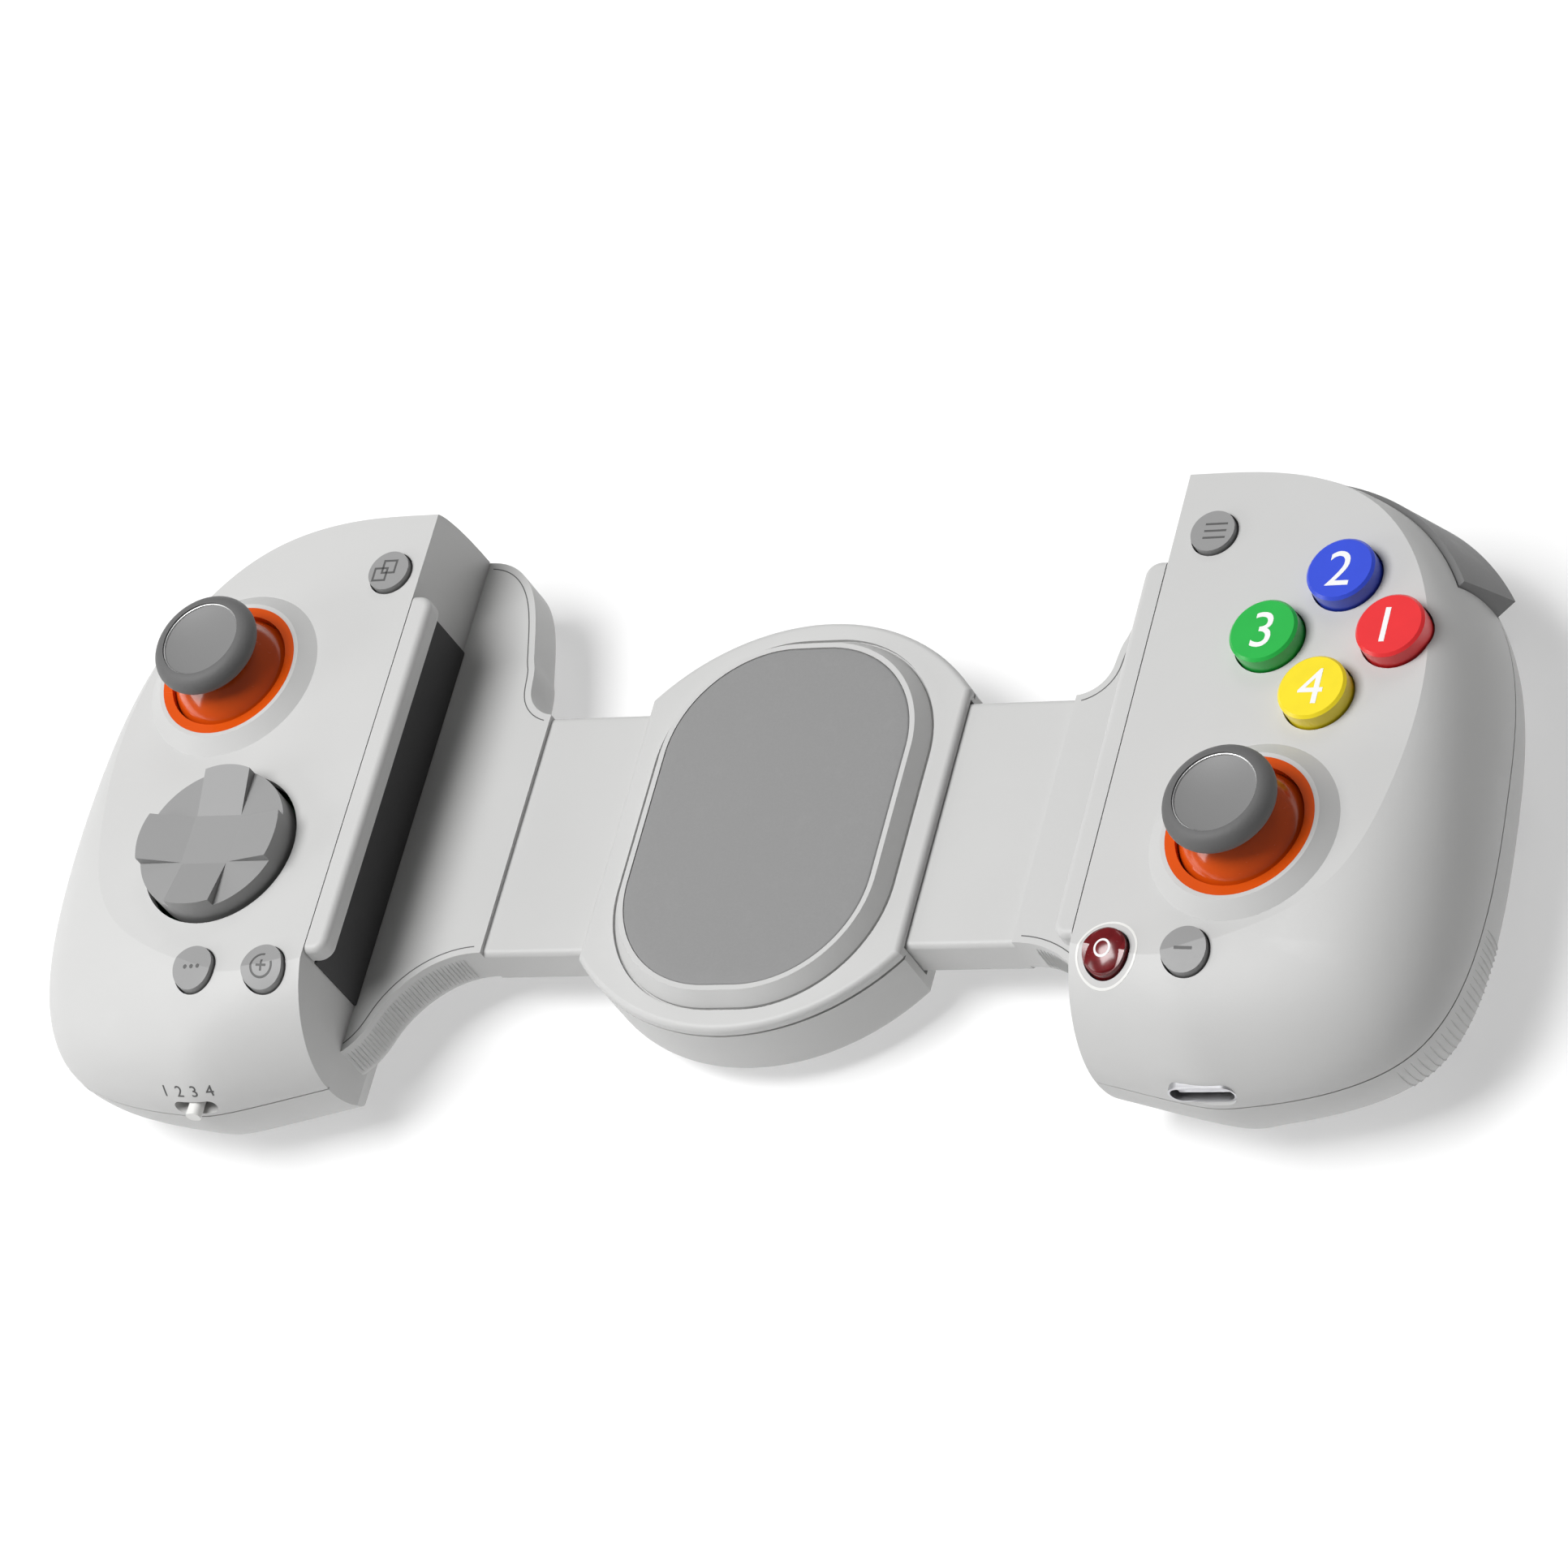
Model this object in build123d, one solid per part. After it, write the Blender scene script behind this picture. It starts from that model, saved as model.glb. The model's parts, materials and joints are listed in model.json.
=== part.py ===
from build123d import *
import os
from math import asin, atan, cos, hypot, pi, radians, sin, sqrt, tan

# A telescopic game controller that clamps a phone between two grips.
# The origin is the middle of the soft pad that the phone's back lies on. X runs along the
# phone, Y from the grips' lower ends to their shoulders, Z out of the phone's screen.

# Shared fits
slide_clearance = 0.2
pin_clearance = 0.1
button_clearance = 0.25
cut_overrun = 1.0

# Overall layout
wall_gap = 110.0
slide_travel = 27.0
front_z = 11.2
front_depth = 14.0
back_depth = 14.0
shell_wall = 1.9
seam_groove_height = 0.22
seam_groove_depth = 0.35
grip_width = 46.6
grip_length = 83.9

# Clamp wall, pad and lip
pad_proud = 0.4
pad_depth = 1.4
pad_length = 53.8
clamp_mid_y = 1.3
lip_reach = 3.0
lip_height = 3.2
lip_root = 1.6
lip_corner = 2.0
lip_edge = 0.9
lip_seam = 0.15

# Grip outline at the seam between the shells, from the clamp wall out: each point's distance
# from the wall as a share of the grip's width, and its Y as a share of the grip's length
seam_shares = [
    (0.0, 0.504), (0.3, 0.499), (0.654, 0.429), (0.886, 0.272), (0.987, 0.0),
    (1.0, -0.215), (0.869, -0.42), (0.451, -0.496), (0.0, -0.452),
]
# The same for the flat of the front face and for the flat of the back
front_rim_shares = [
    (0.0, 0.486), (0.29, 0.479), (0.614, 0.4), (0.777, 0.25), (0.828, 0.006),
    (0.751, -0.161), (0.569, -0.286), (0.333, -0.329), (0.0, -0.317),
]
back_rim_shares = [
    (0.107, 0.429), (0.322, 0.424), (0.558, 0.352), (0.719, 0.215), (0.805, 0.0),
    (0.815, -0.185), (0.708, -0.334), (0.408, -0.396), (0.129, -0.358),
]
outline_start_slope = 0.0
outline_end_slope = 0.25
crease_angle = 71.0
loft_share_steps = [0.0, 0.28, 0.55, 0.79, 1.0]

# Wing of the back shell, from the clamp wall in towards the hub: shares of the wing's reach, and
# of the run in Y from the arm's edge to the end of the grip's wall
wing_reach = 16.6
wing_ear_shares = [(0.0, 1.0), (0.331, 0.922), (0.542, 0.708), (0.699, 0.331), (0.741, 0.179)]
wing_foot_shares = [(0.693, 0.048), (0.452, 0.173), (0.247, 0.398), (0.0, 0.724)]
wing_edge = 1.4
wing_foot_slope = 0.8
wing_lean = 0.1

# Arm sleeve and the steel slide plate inside it
arm_width = 35.9
arm_drop = 0.6
arm_height = 6.3
arm_entry = 2.2
arm_edge = 0.8
plate_end_gap = 1.2
sleeve_wall = 2.75
plate_thick = 1.2
plate_layer_gap = 0.4
plate_anchor = 8.0
plate_slot_gap = 0.7

# Hub
hub_radius = 30.2
hub_half_width = 23.2
hub_top_drop = 2.2
hub_height = 10.1
hub_cover_rim = 1.9
hub_edge = 0.8
hub_groove = 0.4
guide_half_length = 19.0
hub_screw_x = 9.0
hub_screw_y = 23.0

# Pad frame and soft pad on the hub
frame_width = 39.4
frame_length = 54.0
frame_corner_share = 0.444
frame_taper = 1.4
frame_rim = 0.7
frame_lip_drop = 0.15
frame_sink = 0.5
frame_gap = 0.35
pad_thick = 1.4

# Rack and pinion
tooth_module = 1.0
pinion_teeth = 12
tooth_thick_share = 0.36
addendum_share = 0.8
dedendum_share = 1.05
pinion_pin_radius = 2.0

# Return springs
spring_radius = 0.9
spring_place_share = 0.733
spring_tab_x = 6.0
spring_anchor_wall = 0.8
spring_gap = 0.3
tab_thick = 1.2
tab_width = 2.0

# Screws
screw_radius = 0.9
screw_head_radius = 1.8
screw_head_height = 1.0
screw_sink = 2.2
screw_bite = 3.0
cover_skin = 1.0
screw_boss_radius = 2.3
shell_screw_shares = [(0.099, 0.262), (0.099, -0.232), (0.815, -0.298), (0.848, 0.06)]
screw_shoulder_radius = 3.2

# Circuit board
board_thick = 1.2
board_inset = 5.0
board_lift = 1.4
board_hole_gap = 0.3
switch_radius = 1.6
switch_height = 1.0

# Thumb sticks, heights from the tilt centre
stick_left_share = (0.519, 0.198)
stick_right_share = (0.423, -0.139)
collar_radius = 12.4
collar_top_radius = 10.3
collar_height = 1.5
ring_radius = 9.72
ring_bore = 8.4
ring_height = 1.2
ring_ledge = 0.45
stick_depth = 4.0
stick_tilt = 20.0
skirt_radius = 8.8
skirt_wall = 1.1
skirt_rim_angle = 86.0
neck_radius = 3.4
shaft_radius = 1.5
shaft_top = 9.1
shaft_foot = 1.6
click_travel = 0.5
cap_radius = 7.3
cap_base = 8.3
cap_top = 11.8
cap_round = 1.7
disc_radius = 5.5
disc_thick = 0.8
disc_dish = 0.55
disc_sink = 0.35
stick_base_side = 16.0
stick_base_drop = 4.2
stick_neck_radius = 6.5
stick_neck_wall = 1.1
stick_ring_radius = 4.6
stick_ring_bore = 3.0
stick_ring_half = 1.0
stick_pin_radius = 0.7

# Direction pad
dpad_place_share = (0.376, -0.12)
dpad_radius = 10.5
dpad_arm = 6.8
dpad_gap = 0.65
dpad_flat = 2.4
dpad_rise = 1.5
dpad_flat_half = 3.6
dpad_under = 1.6
dpad_tilt = 5.0
dpad_pivot_drop = 3.1
dpad_ring_radius = 3.4
dpad_ring_bore = 2.1
dpad_ring_half = 0.7
dpad_pin_radius = 0.5
dpad_neck_radius = 5.0
dpad_neck_wall = 1.1
dpad_foot_side = 12.0
dpad_foot_drop = 3.0
dpad_stem_radius = 1.1

# Push buttons
face_button_radius = 4.5
face_button_height = 2.4
face_button_chamfer = 0.35
face_button_pitch = 8.45
face_middle_share = (0.541, 0.187)
small_button_radius = 2.95
small_button_height = 0.8
small_top_left_share = (0.097, 0.378)
small_top_right_share = (0.119, 0.377)
small_low_share = (0.11, -0.334)
small_outer_share = (0.338, -0.334)
small_low_flange_drop = 6.4
button_travel = 1.2
small_travel = 0.7
flange_extra = 1.1
flange_thick = 0.8
stem_radius = 1.3

# Bumpers and triggers at the outer top corner
corner_angle = 40.0
shoulder_half_length = 12.6
shoulder_reach = 15.6
shoulder_gap = 0.35
bumper_drop = 4.4
bumper_front_proud = 0.8
bumper_back_proud = 2.8
bumper_depth = 3.6
bumper_pin_radius = 1.0
bumper_pin_back = 10.4
bumper_pin_in = 4.8
trigger_middle = -5.0
trigger_half_length = 7.5
trigger_front_proud = 2.0
trigger_waist_proud = 1.2
trigger_back_proud = 2.6
trigger_height = 10.5
trigger_depth = 4.2
trigger_pin_radius = 1.0
trigger_pin_in = 5.6
trigger_gap = 0.5
trigger_low_gap = 0.8
trigger_pin_drop = 2.2
lug_start = 3.4
lug_thick = 1.6
lug_gap = 0.3
lug_back = 13.0
lug_post = 2.6
lug_round = 1.9

# Charging socket and mode switch in the lower ends
socket_x = 16.2
socket_drop = 11.4
socket_width = 9.0
socket_height = 3.2
socket_wall = 0.3
socket_depth = 6.5
socket_tongue = 0.7
socket_tongue_width = 6.6
socket_sink = 0.35
switch_x = 18.0
switch_drop = 12.1
switch_slot_height = 2.2
switch_knob = 2.0
switch_round_share = 0.45
switch_proud = 1.3
switch_travel = 4.0
switch_plate = 1.0

# Battery
battery_edge = 1.5
battery_width = 22.0
battery_length = 30.0
battery_thick = 5.0
battery_place_share = (0.451, -0.107)

# Values worked out from the ones above
seam_z = front_z - front_depth
back_z = seam_z - back_depth
wall_x = wall_gap / 2
arm_top_z = seam_z - arm_drop
arm_low_z = arm_top_z - arm_height
hub_top_z = -hub_top_drop
hub_low_z = hub_top_z - hub_height
hub_seam_z = hub_top_z - hub_cover_rim
arm_mid_z = (arm_top_z + arm_low_z) / 2
plate_width = arm_width - 2 * sleeve_wall - 2 * slide_clearance
spring_y = plate_width / 2 * spring_place_share
frame_corner = frame_width * frame_corner_share
switch_slot = switch_knob + switch_travel + 2 * slide_clearance
upper_plate_z = arm_mid_z + plate_layer_gap / 2
lower_plate_z = arm_mid_z - plate_layer_gap / 2 - plate_thick
seam_x = wall_x - wing_reach
sleeve_end_x = hub_half_width - arm_entry
pitch_radius = tooth_module * pinion_teeth / 2
board_z = seam_z + board_lift
board_top_z = board_z + board_thick
ring_plane_z = front_z + collar_height
stick_z = ring_plane_z - stick_depth
ceiling_z = front_z - shell_wall
lip_low_z = front_z - lip_height
corner_out = (sin(radians(corner_angle)), cos(radians(corner_angle)))
corner_along = (corner_out[1], -corner_out[0])


def grip_place(shares):
    """A place on the grip: its distance from the clamp wall, and its Y."""
    return shares[0] * grip_width, shares[1] * grip_length


seam_outline = [grip_place(point) for point in seam_shares]
corner_point = seam_outline[2]
shell_screws = [grip_place(point) for point in shell_screw_shares]
stick_left = grip_place(stick_left_share)
stick_right = grip_place(stick_right_share)
dpad_place = grip_place(dpad_place_share)
face_button_middle = grip_place(face_middle_share)
small_low_place = grip_place(small_low_share)
small_outer_place = grip_place(small_outer_share)
battery_place = grip_place(battery_place_share)


def normal_at(points, index):
    """Outward direction of an outline that runs clockwise, at one of its points."""
    before = points[max(index - 1, 0)]
    after = points[min(index + 1, len(points) - 1)]
    run = (after[0] - before[0], after[1] - before[1])
    length = hypot(*run)
    return (-run[1] / length, run[0] / length)


def grown(points, distance):
    """The outline moved outward by a distance, with its two ends kept on their wall line."""
    moved = []
    for index, (x, y) in enumerate(points):
        nx, ny = normal_at(points, index)
        moved.append((x + nx * distance, y + ny * distance))
    return moved


def hollowed(points, wall):
    return grown(points, -wall)


def run_shares(points):
    """How far along the outline each point lies, from 0 at its start to 1 at its end."""
    runs = [hypot(b[0] - a[0], b[1] - a[1]) for a, b in zip(points, points[1:])]
    return [sum(runs[:count]) / sum(runs) for count in range(len(points))]


def outline_wire(points, z):
    """A closed wire: one smooth curve round the grip and a straight line just inside the wall."""
    (start_x, start_y), (end_x, end_y) = points[0], points[-1]
    start = (start_x - cut_overrun, start_y - cut_overrun * outline_start_slope)
    end = (end_x - cut_overrun, end_y + cut_overrun * outline_end_slope)
    places = [Vector(wall_x + x, y, z) for x, y in [start] + points[1:-1] + [end]]
    directions = [Vector(1, outline_start_slope, 0), Vector(-1, outline_end_slope, 0)]
    curve = Edge.make_spline(places, tangents=directions, parameters=run_shares(seam_outline))
    return Wire([curve, Line(places[-1], places[0])])


def paced(shares):
    """The outline's points, moved along its smooth curve to the pace of the seam outline."""
    points = [grip_place(point) for point in shares]
    directions = (Vector(1, outline_start_slope, 0), Vector(-1, outline_end_slope, 0))
    curve = Spline(*[Vector(x, y, 0) for x, y in points], tangents=directions)
    spots = [curve.position_at(share * curve.length, PositionMode.LENGTH)
             for share in run_shares(seam_outline)]
    return [(spot.X, spot.Y) for spot in spots]


front_outline = paced(front_rim_shares)
back_outline = paced(back_rim_shares)


def blended(low, high, angle):
    """The outline between two others, by the angle climbed on the quarter ellipse."""
    flat = cos(radians(crease_angle))
    share = (cos(angle) - flat) / (1 - flat)
    return [
        (h[0] + (l[0] - h[0]) * share, h[1] + (l[1] - h[1]) * share)
        for l, h in zip(low, high)
    ]


def domed(low, high, low_z, rise, wall=0):
    """A solid whose side climbs as most of a quarter ellipse, to a soft crease round its flat."""
    wires = []
    full_rise = rise / sin(radians(crease_angle))
    for step in loft_share_steps:
        angle = radians(crease_angle * step)
        wires.append(outline_wire(blended(low, high, angle), low_z + full_rise * sin(angle)))
    return Solid.make_loft(wires) - wall_side(wall)


def wall_side(wall):
    """The space on the phone's side of the clamp wall's inner or outer face."""
    side = 2 * pad_length
    return block(wall_x - wing_reach, wall_x + wall, -side, side, -side, side)


def slab(points, low_z, high_z):
    plate = extrude(Face(outline_wire(points, low_z)), high_z - low_z, dir=(0, 0, 1))
    return plate - wall_side(0)


def rod(radius, x, y, low_z, high_z):
    return Pos(x, y, (low_z + high_z) / 2) * Cylinder(radius, high_z - low_z)


def block(x0, x1, y0, y1, z0, z1):
    middle = ((x0 + x1) / 2, (y0 + y1) / 2, (z0 + z1) / 2)
    return Pos(*middle) * Box(x1 - x0, y1 - y0, z1 - z0)


def turned(points):
    """A solid of revolution about Z from radius and height pairs."""
    return revolve(Plane.XZ * make_face(Polyline(*points, close=True)), axis=Axis.Z)


def corner_place(along, out):
    x = wall_x + corner_point[0] + corner_along[0] * along + corner_out[0] * out
    y = corner_point[1] + corner_along[1] * along + corner_out[1] * out
    return x, y


def corner_block(start, end, near, far, low_z, high_z):
    """A block in the slanted axes of the outer top corner."""
    middle = Pos(*corner_place((start + end) / 2, (near + far) / 2), (low_z + high_z) / 2)
    return middle * Rot(0, 0, -corner_angle) * Box(end - start, far - near, high_z - low_z)


def bumper_strip(gap, low_z, high_z):
    """The stretch of the corner that the bumper fills, with a gap at each end."""
    half = shoulder_half_length + gap
    return corner_block(-half, half, -shoulder_reach, shoulder_reach, low_z, high_z)


def trigger_strip(gap, low_z, high_z):
    half = trigger_half_length + gap
    return corner_block(trigger_middle - half, trigger_middle + half, -shoulder_reach,
                        shoulder_reach, low_z, high_z)


def outline_at(z):
    """The grip's outer outline at one height, on the front shell or on the back shell."""
    far = front_outline if z > seam_z else back_outline
    depth = front_depth if z > seam_z else back_depth
    climb = abs(z - seam_z) / depth * sin(radians(crease_angle))
    return blended(seam_outline, far, asin(climb))


front_body = domed(seam_outline, front_outline, seam_z, front_depth)
back_body = domed(seam_outline, back_outline, seam_z, -back_depth)


def grip_x(x):
    return wall_x + x


def cross_rod(radius, length, x, y, z):
    """A pin along X."""
    return Pos(x, y, z) * Rot(0, 90, 0) * Cylinder(radius, length)


# Clamp lip and pad
def clamp_lip():
    y0 = clamp_mid_y - pad_length / 2
    y1 = clamp_mid_y + pad_length / 2
    inner_x = wall_x - lip_seam
    lip = block(wall_x - lip_reach, inner_x, y0, y1, lip_low_z, front_z)
    outer = lip.edges().filter_by(Axis.Z).group_by(Axis.X)[0]
    lip = fillet(outer, lip_corner)
    rounded = lip.edges().filter_by(lambda e: e.center().X < inner_x - lip_seam)
    lip = fillet(rounded.filter_by(Axis.Z, reverse=True), lip_edge)
    root = block(inner_x, wall_x + lip_root, y0 + lip_corner, y1 - lip_corner, lip_low_z,
                 lip_low_z + lip_root)
    return lip + root


def clamp_pad():
    y0 = clamp_mid_y - pad_length / 2
    y1 = clamp_mid_y + pad_length / 2
    return block(wall_x - pad_proud, wall_x - pad_proud + pad_depth, y0, y1, seam_z, lip_low_z)


# Front shell
def screw_posts(low_z, high_z, radius):
    return [rod(radius, grip_x(x), y, low_z, high_z) for x, y in shell_screws]


def front_room(wall):
    """The space inside the front shell, at a given distance from its outer faces."""
    low = hollowed(seam_outline, wall)
    return domed(low, hollowed(front_outline, wall), seam_z, front_depth - wall, wall)


def back_room(wall):
    low = hollowed(seam_outline, wall)
    return domed(low, hollowed(back_outline, wall), seam_z, wall - back_depth, wall)


def seam_groove():
    """The fine groove that runs round the grip where the two shells meet."""
    top_z = seam_z + seam_groove_height
    band = slab(grown(seam_outline, seam_groove_depth), seam_z - cut_overrun, top_z)
    return band - slab(hollowed(seam_outline, seam_groove_depth), seam_z - 2 * cut_overrun, top_z)


def front_shell(stick, holes, end_cut):
    """Shell with the collar round the stick, holes for the keys and one cut in its lower end."""
    x, y = grip_x(stick[0]), stick[1]
    collar = Pos(x, y, 0) * turned([
        (0, ceiling_z), (collar_radius, ceiling_z), (collar_radius, front_z),
        (collar_top_radius, ring_plane_z), (0, ring_plane_z),
    ])
    hollow = front_room(shell_wall)
    hollow -= screw_posts(seam_z, board_top_z, screw_boss_radius)
    hollow -= screw_posts(board_top_z, front_z, screw_shoulder_radius)
    shell = front_body + collar - hollow
    shell -= screw_posts(seam_z - cut_overrun, board_top_z + screw_bite, screw_radius)
    window_top = front_z - bumper_drop + shoulder_gap
    shell -= seam_groove()
    shell -= bumper_strip(shoulder_gap, seam_z - cut_overrun, window_top)
    pin_x, pin_y = corner_place(-bumper_pin_back, -bumper_pin_in)
    pin_low = seam_z + shoulder_gap
    shell += rod(bumper_pin_radius, pin_x, pin_y, pin_low, window_top + bumper_pin_radius)
    well = rod(ring_radius - ring_ledge, x, y, ceiling_z - cut_overrun, ring_plane_z)
    seat = rod(ring_radius, x, y, ring_plane_z - ring_height, ring_plane_z + cut_overrun)
    shell -= [well, seat]
    shell -= [
        rod(radius, grip_x(hole_x), hole_y, seam_z + front_depth / 2, front_z + cut_overrun)
        for hole_x, hole_y, radius in holes
    ]
    shell -= [clamp_lip(), clamp_pad()]
    return shell - end_cut


# Back shell with its wing
def wing():
    half = arm_width / 2
    ear_run = seam_outline[0][1] - half
    foot_run = -seam_outline[-1][1] - half
    ear = [Vector(wall_x - x * wing_reach, half + y * ear_run, arm_low_z)
           for x, y in wing_ear_shares]
    foot = [Vector(wall_x - x * wing_reach, -half - y * foot_run, arm_low_z)
            for x, y in wing_foot_shares]
    seam_top = Vector(seam_x, half, arm_low_z)
    seam_low = Vector(seam_x, -half, arm_low_z)
    inside_top = Vector(wall_x + shell_wall, ear[0].Y - shell_wall, arm_low_z)
    inside_low = Vector(wall_x + shell_wall, foot[-1].Y + shell_wall, arm_low_z)
    edge = Wire([
        Spline(*ear, tangents=(Vector(-1, 0, 0), Vector(-wing_lean, -1, 0))),
        TangentArc(ear[-1], seam_top, tangent=Vector(-wing_lean, -1, 0)),
        Line(seam_top, seam_low),
        Spline(seam_low, *foot, tangents=(Vector(1, 0, 0), Vector(1, -wing_foot_slope, 0))),
        Line(foot[-1], inside_low),
        Line(inside_low, inside_top),
        Line(inside_top, ear[0]),
    ])
    plate = extrude(Face(edge), seam_z - arm_low_z, dir=(0, 0, 1))
    low = plate.edges().group_by(Axis.Z)[0].filter_by(GeomType.BSPLINE)
    return fillet(low, wing_edge)


def back_shell(plate):
    hollow = back_room(shell_wall)
    hollow -= screw_posts(back_z, seam_z, screw_boss_radius)
    hollow -= trigger_lugs()
    shell = back_body + wing() - hollow
    trigger_room = seam_z - trigger_gap - trigger_height - trigger_low_gap
    window = trigger_strip(shoulder_gap, trigger_room, seam_z + cut_overrun)
    shell -= window - trigger_lugs()
    shell -= screw_posts(back_z, seam_z + cut_overrun, screw_radius)
    shell -= screw_posts(back_z - cut_overrun, back_z + screw_sink, screw_head_radius)
    return shell - [trigger_pin(), plate]


def shell_screw_set():
    screws = []
    for x, y in shell_screws:
        head_low = back_z + screw_sink - screw_head_height
        head = rod(screw_head_radius, grip_x(x), y, head_low, back_z + screw_sink)
        shank = rod(screw_radius, grip_x(x), y, back_z + screw_sink, board_top_z + screw_bite)
        screws.append(head + shank)
    return screws


# Arm sleeve and slide plates
def arm_sleeve():
    half = arm_width / 2
    sleeve = block(sleeve_end_x, seam_x, -half, half, arm_low_z, arm_top_z)
    sleeve = fillet(sleeve.edges().filter_by(Axis.X), arm_edge)
    room_y = plate_width / 2 + slide_clearance
    room_low = lower_plate_z - slide_clearance
    room_high = upper_plate_z + plate_thick + slide_clearance
    return sleeve - block(
        sleeve_end_x - cut_overrun, seam_x + cut_overrun, -room_y, room_y, room_low, room_high)


def rack_points(x0, x1):
    """The toothed edge of a slot, below the pinion, from one end to the other."""
    pitch = pi * tooth_module
    lean = tan(radians(20))
    tip = -pitch_radius + addendum_share * tooth_module
    root = -pitch_radius - dedendum_share * tooth_module
    half = pitch * tooth_thick_share / 2
    half_tip = half - addendum_share * tooth_module * lean
    half_root = half + dedendum_share * tooth_module * lean
    first = int((x0 + half_root) / pitch) - 1
    points = [(x0, root)]
    for index in range(first, first + int((x1 - x0) / pitch) + 3):
        middle = (index + 0.5) * pitch
        if middle - half_root > x0 and middle + half_root < x1:
            points += [
                (middle - half_root, root), (middle - half_tip, tip),
                (middle + half_tip, tip), (middle + half_root, root),
            ]
    return points + [(x1, root)]


def slide_plate(low_z, tab_low_z, tab_high_z):
    """The right grip's steel plate, with its slot, the rack along the slot and a spring tab."""
    inner_x = -(seam_x - plate_end_gap)
    outer_x = seam_x + plate_anchor
    reach = pitch_radius + addendum_share * tooth_module + plate_slot_gap
    blank = block(inner_x, outer_x, -plate_width / 2, plate_width / 2, low_z, low_z + plate_thick)
    edge = rack_points(-slide_travel - reach, reach)
    edge += [(reach, reach), (-slide_travel - reach, reach)]
    slot = extrude(Pos(0, 0, low_z - cut_overrun) * make_face(Polyline(*edge, close=True)),
                   plate_thick + 2 * cut_overrun)
    tab = block(-spring_tab_x - tab_thick, -spring_tab_x, -spring_y - tab_width / 2,
                -spring_y + tab_width / 2, tab_low_z, tab_high_z)
    return blank - slot + tab


def sync_pinion():
    base = pitch_radius * cos(radians(20))
    tip = pitch_radius + addendum_share * tooth_module
    root = pitch_radius - dedendum_share * tooth_module
    involute = tan(radians(20)) - radians(20)
    half = pi * tooth_module * tooth_thick_share / 2 / pitch_radius
    radii = [base, pitch_radius, (pitch_radius + tip) / 2, tip]
    flank = []
    for radius in radii:
        lean = atan((max(radius * radius - base * base, 0)) ** 0.5 / base)
        flank.append((radius, half + involute - (tan(lean) - lean)))
    flank = [(root, flank[0][1])] + flank
    points = []
    for tooth in range(pinion_teeth):
        middle = 2 * pi * tooth / pinion_teeth + pi / 2
        for radius, spread in flank:
            points.append((radius * cos(middle - spread), radius * sin(middle - spread)))
        for radius, spread in reversed(flank):
            points.append((radius * cos(middle + spread), radius * sin(middle + spread)))
    height = upper_plate_z + plate_thick - lower_plate_z
    gear = extrude(Pos(0, 0, lower_plate_z) * make_face(Polyline(*points, close=True)), height)
    bore = pinion_pin_radius + pin_clearance
    return gear - rod(bore, 0, 0, lower_plate_z - cut_overrun, upper_plate_z + cut_overrun + plate_thick)


# Hub
def hub_disc(low_z, high_z):
    disc = rod(hub_radius, 0, 0, low_z, high_z)
    side = hub_radius + cut_overrun
    return disc & block(-hub_half_width, hub_half_width, -side, side, low_z, high_z)


def arm_channels(low_z, high_z):
    """The two rooms at the hub's flat sides that the sleeves slide out of."""
    half = arm_width / 2 + slide_clearance
    far = hub_half_width + cut_overrun
    right = block(guide_half_length, far, -half, half, low_z, high_z)
    return right + mirror(right, about=Plane.YZ)


def hub_screw_places():
    return [(x, y) for x in (-hub_screw_x, hub_screw_x) for y in (-hub_screw_y, hub_screw_y)]


def spring_room(side, z):
    """The groove that a return spring and its tab run in, to the right or left."""
    radius = spring_radius + spring_gap / 2
    start = -guide_half_length + spring_anchor_wall
    length = guide_half_length - start + cut_overrun
    groove = cross_rod(radius, length, start + length / 2, -spring_y, z)
    return groove if side > 0 else Rot(0, 0, 180) * groove


def hub_base():
    body = hub_disc(hub_low_z, hub_seam_z)
    low = body.edges().group_by(Axis.Z)[0]
    body = fillet(low, hub_edge)
    body -= arm_channels(arm_low_z - slide_clearance, hub_seam_z + cut_overrun)
    half = plate_width / 2 + slide_clearance
    floor_z = lower_plate_z - slide_clearance
    far = guide_half_length + cut_overrun
    body -= block(-far, far, -half, half, floor_z, hub_seam_z + cut_overrun)
    spring_z = lower_plate_z - spring_gap - spring_radius
    room = spring_room(1, spring_z)
    start = -guide_half_length + spring_anchor_wall
    tab_half = tab_width / 2 + spring_gap
    tab_room = block(start, far, -spring_y - tab_half, -spring_y + tab_half,
                     spring_z - spring_gap, floor_z + cut_overrun)
    body -= room + tab_room
    body += rod(pinion_pin_radius, 0, 0, floor_z, upper_plate_z + plate_thick)
    for x, y in hub_screw_places():
        body -= rod(screw_radius, x, y, hub_low_z - cut_overrun, hub_seam_z + cut_overrun)
        body -= rod(screw_head_radius, x, y, hub_low_z - cut_overrun, hub_low_z + screw_sink)
    return body


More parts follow.
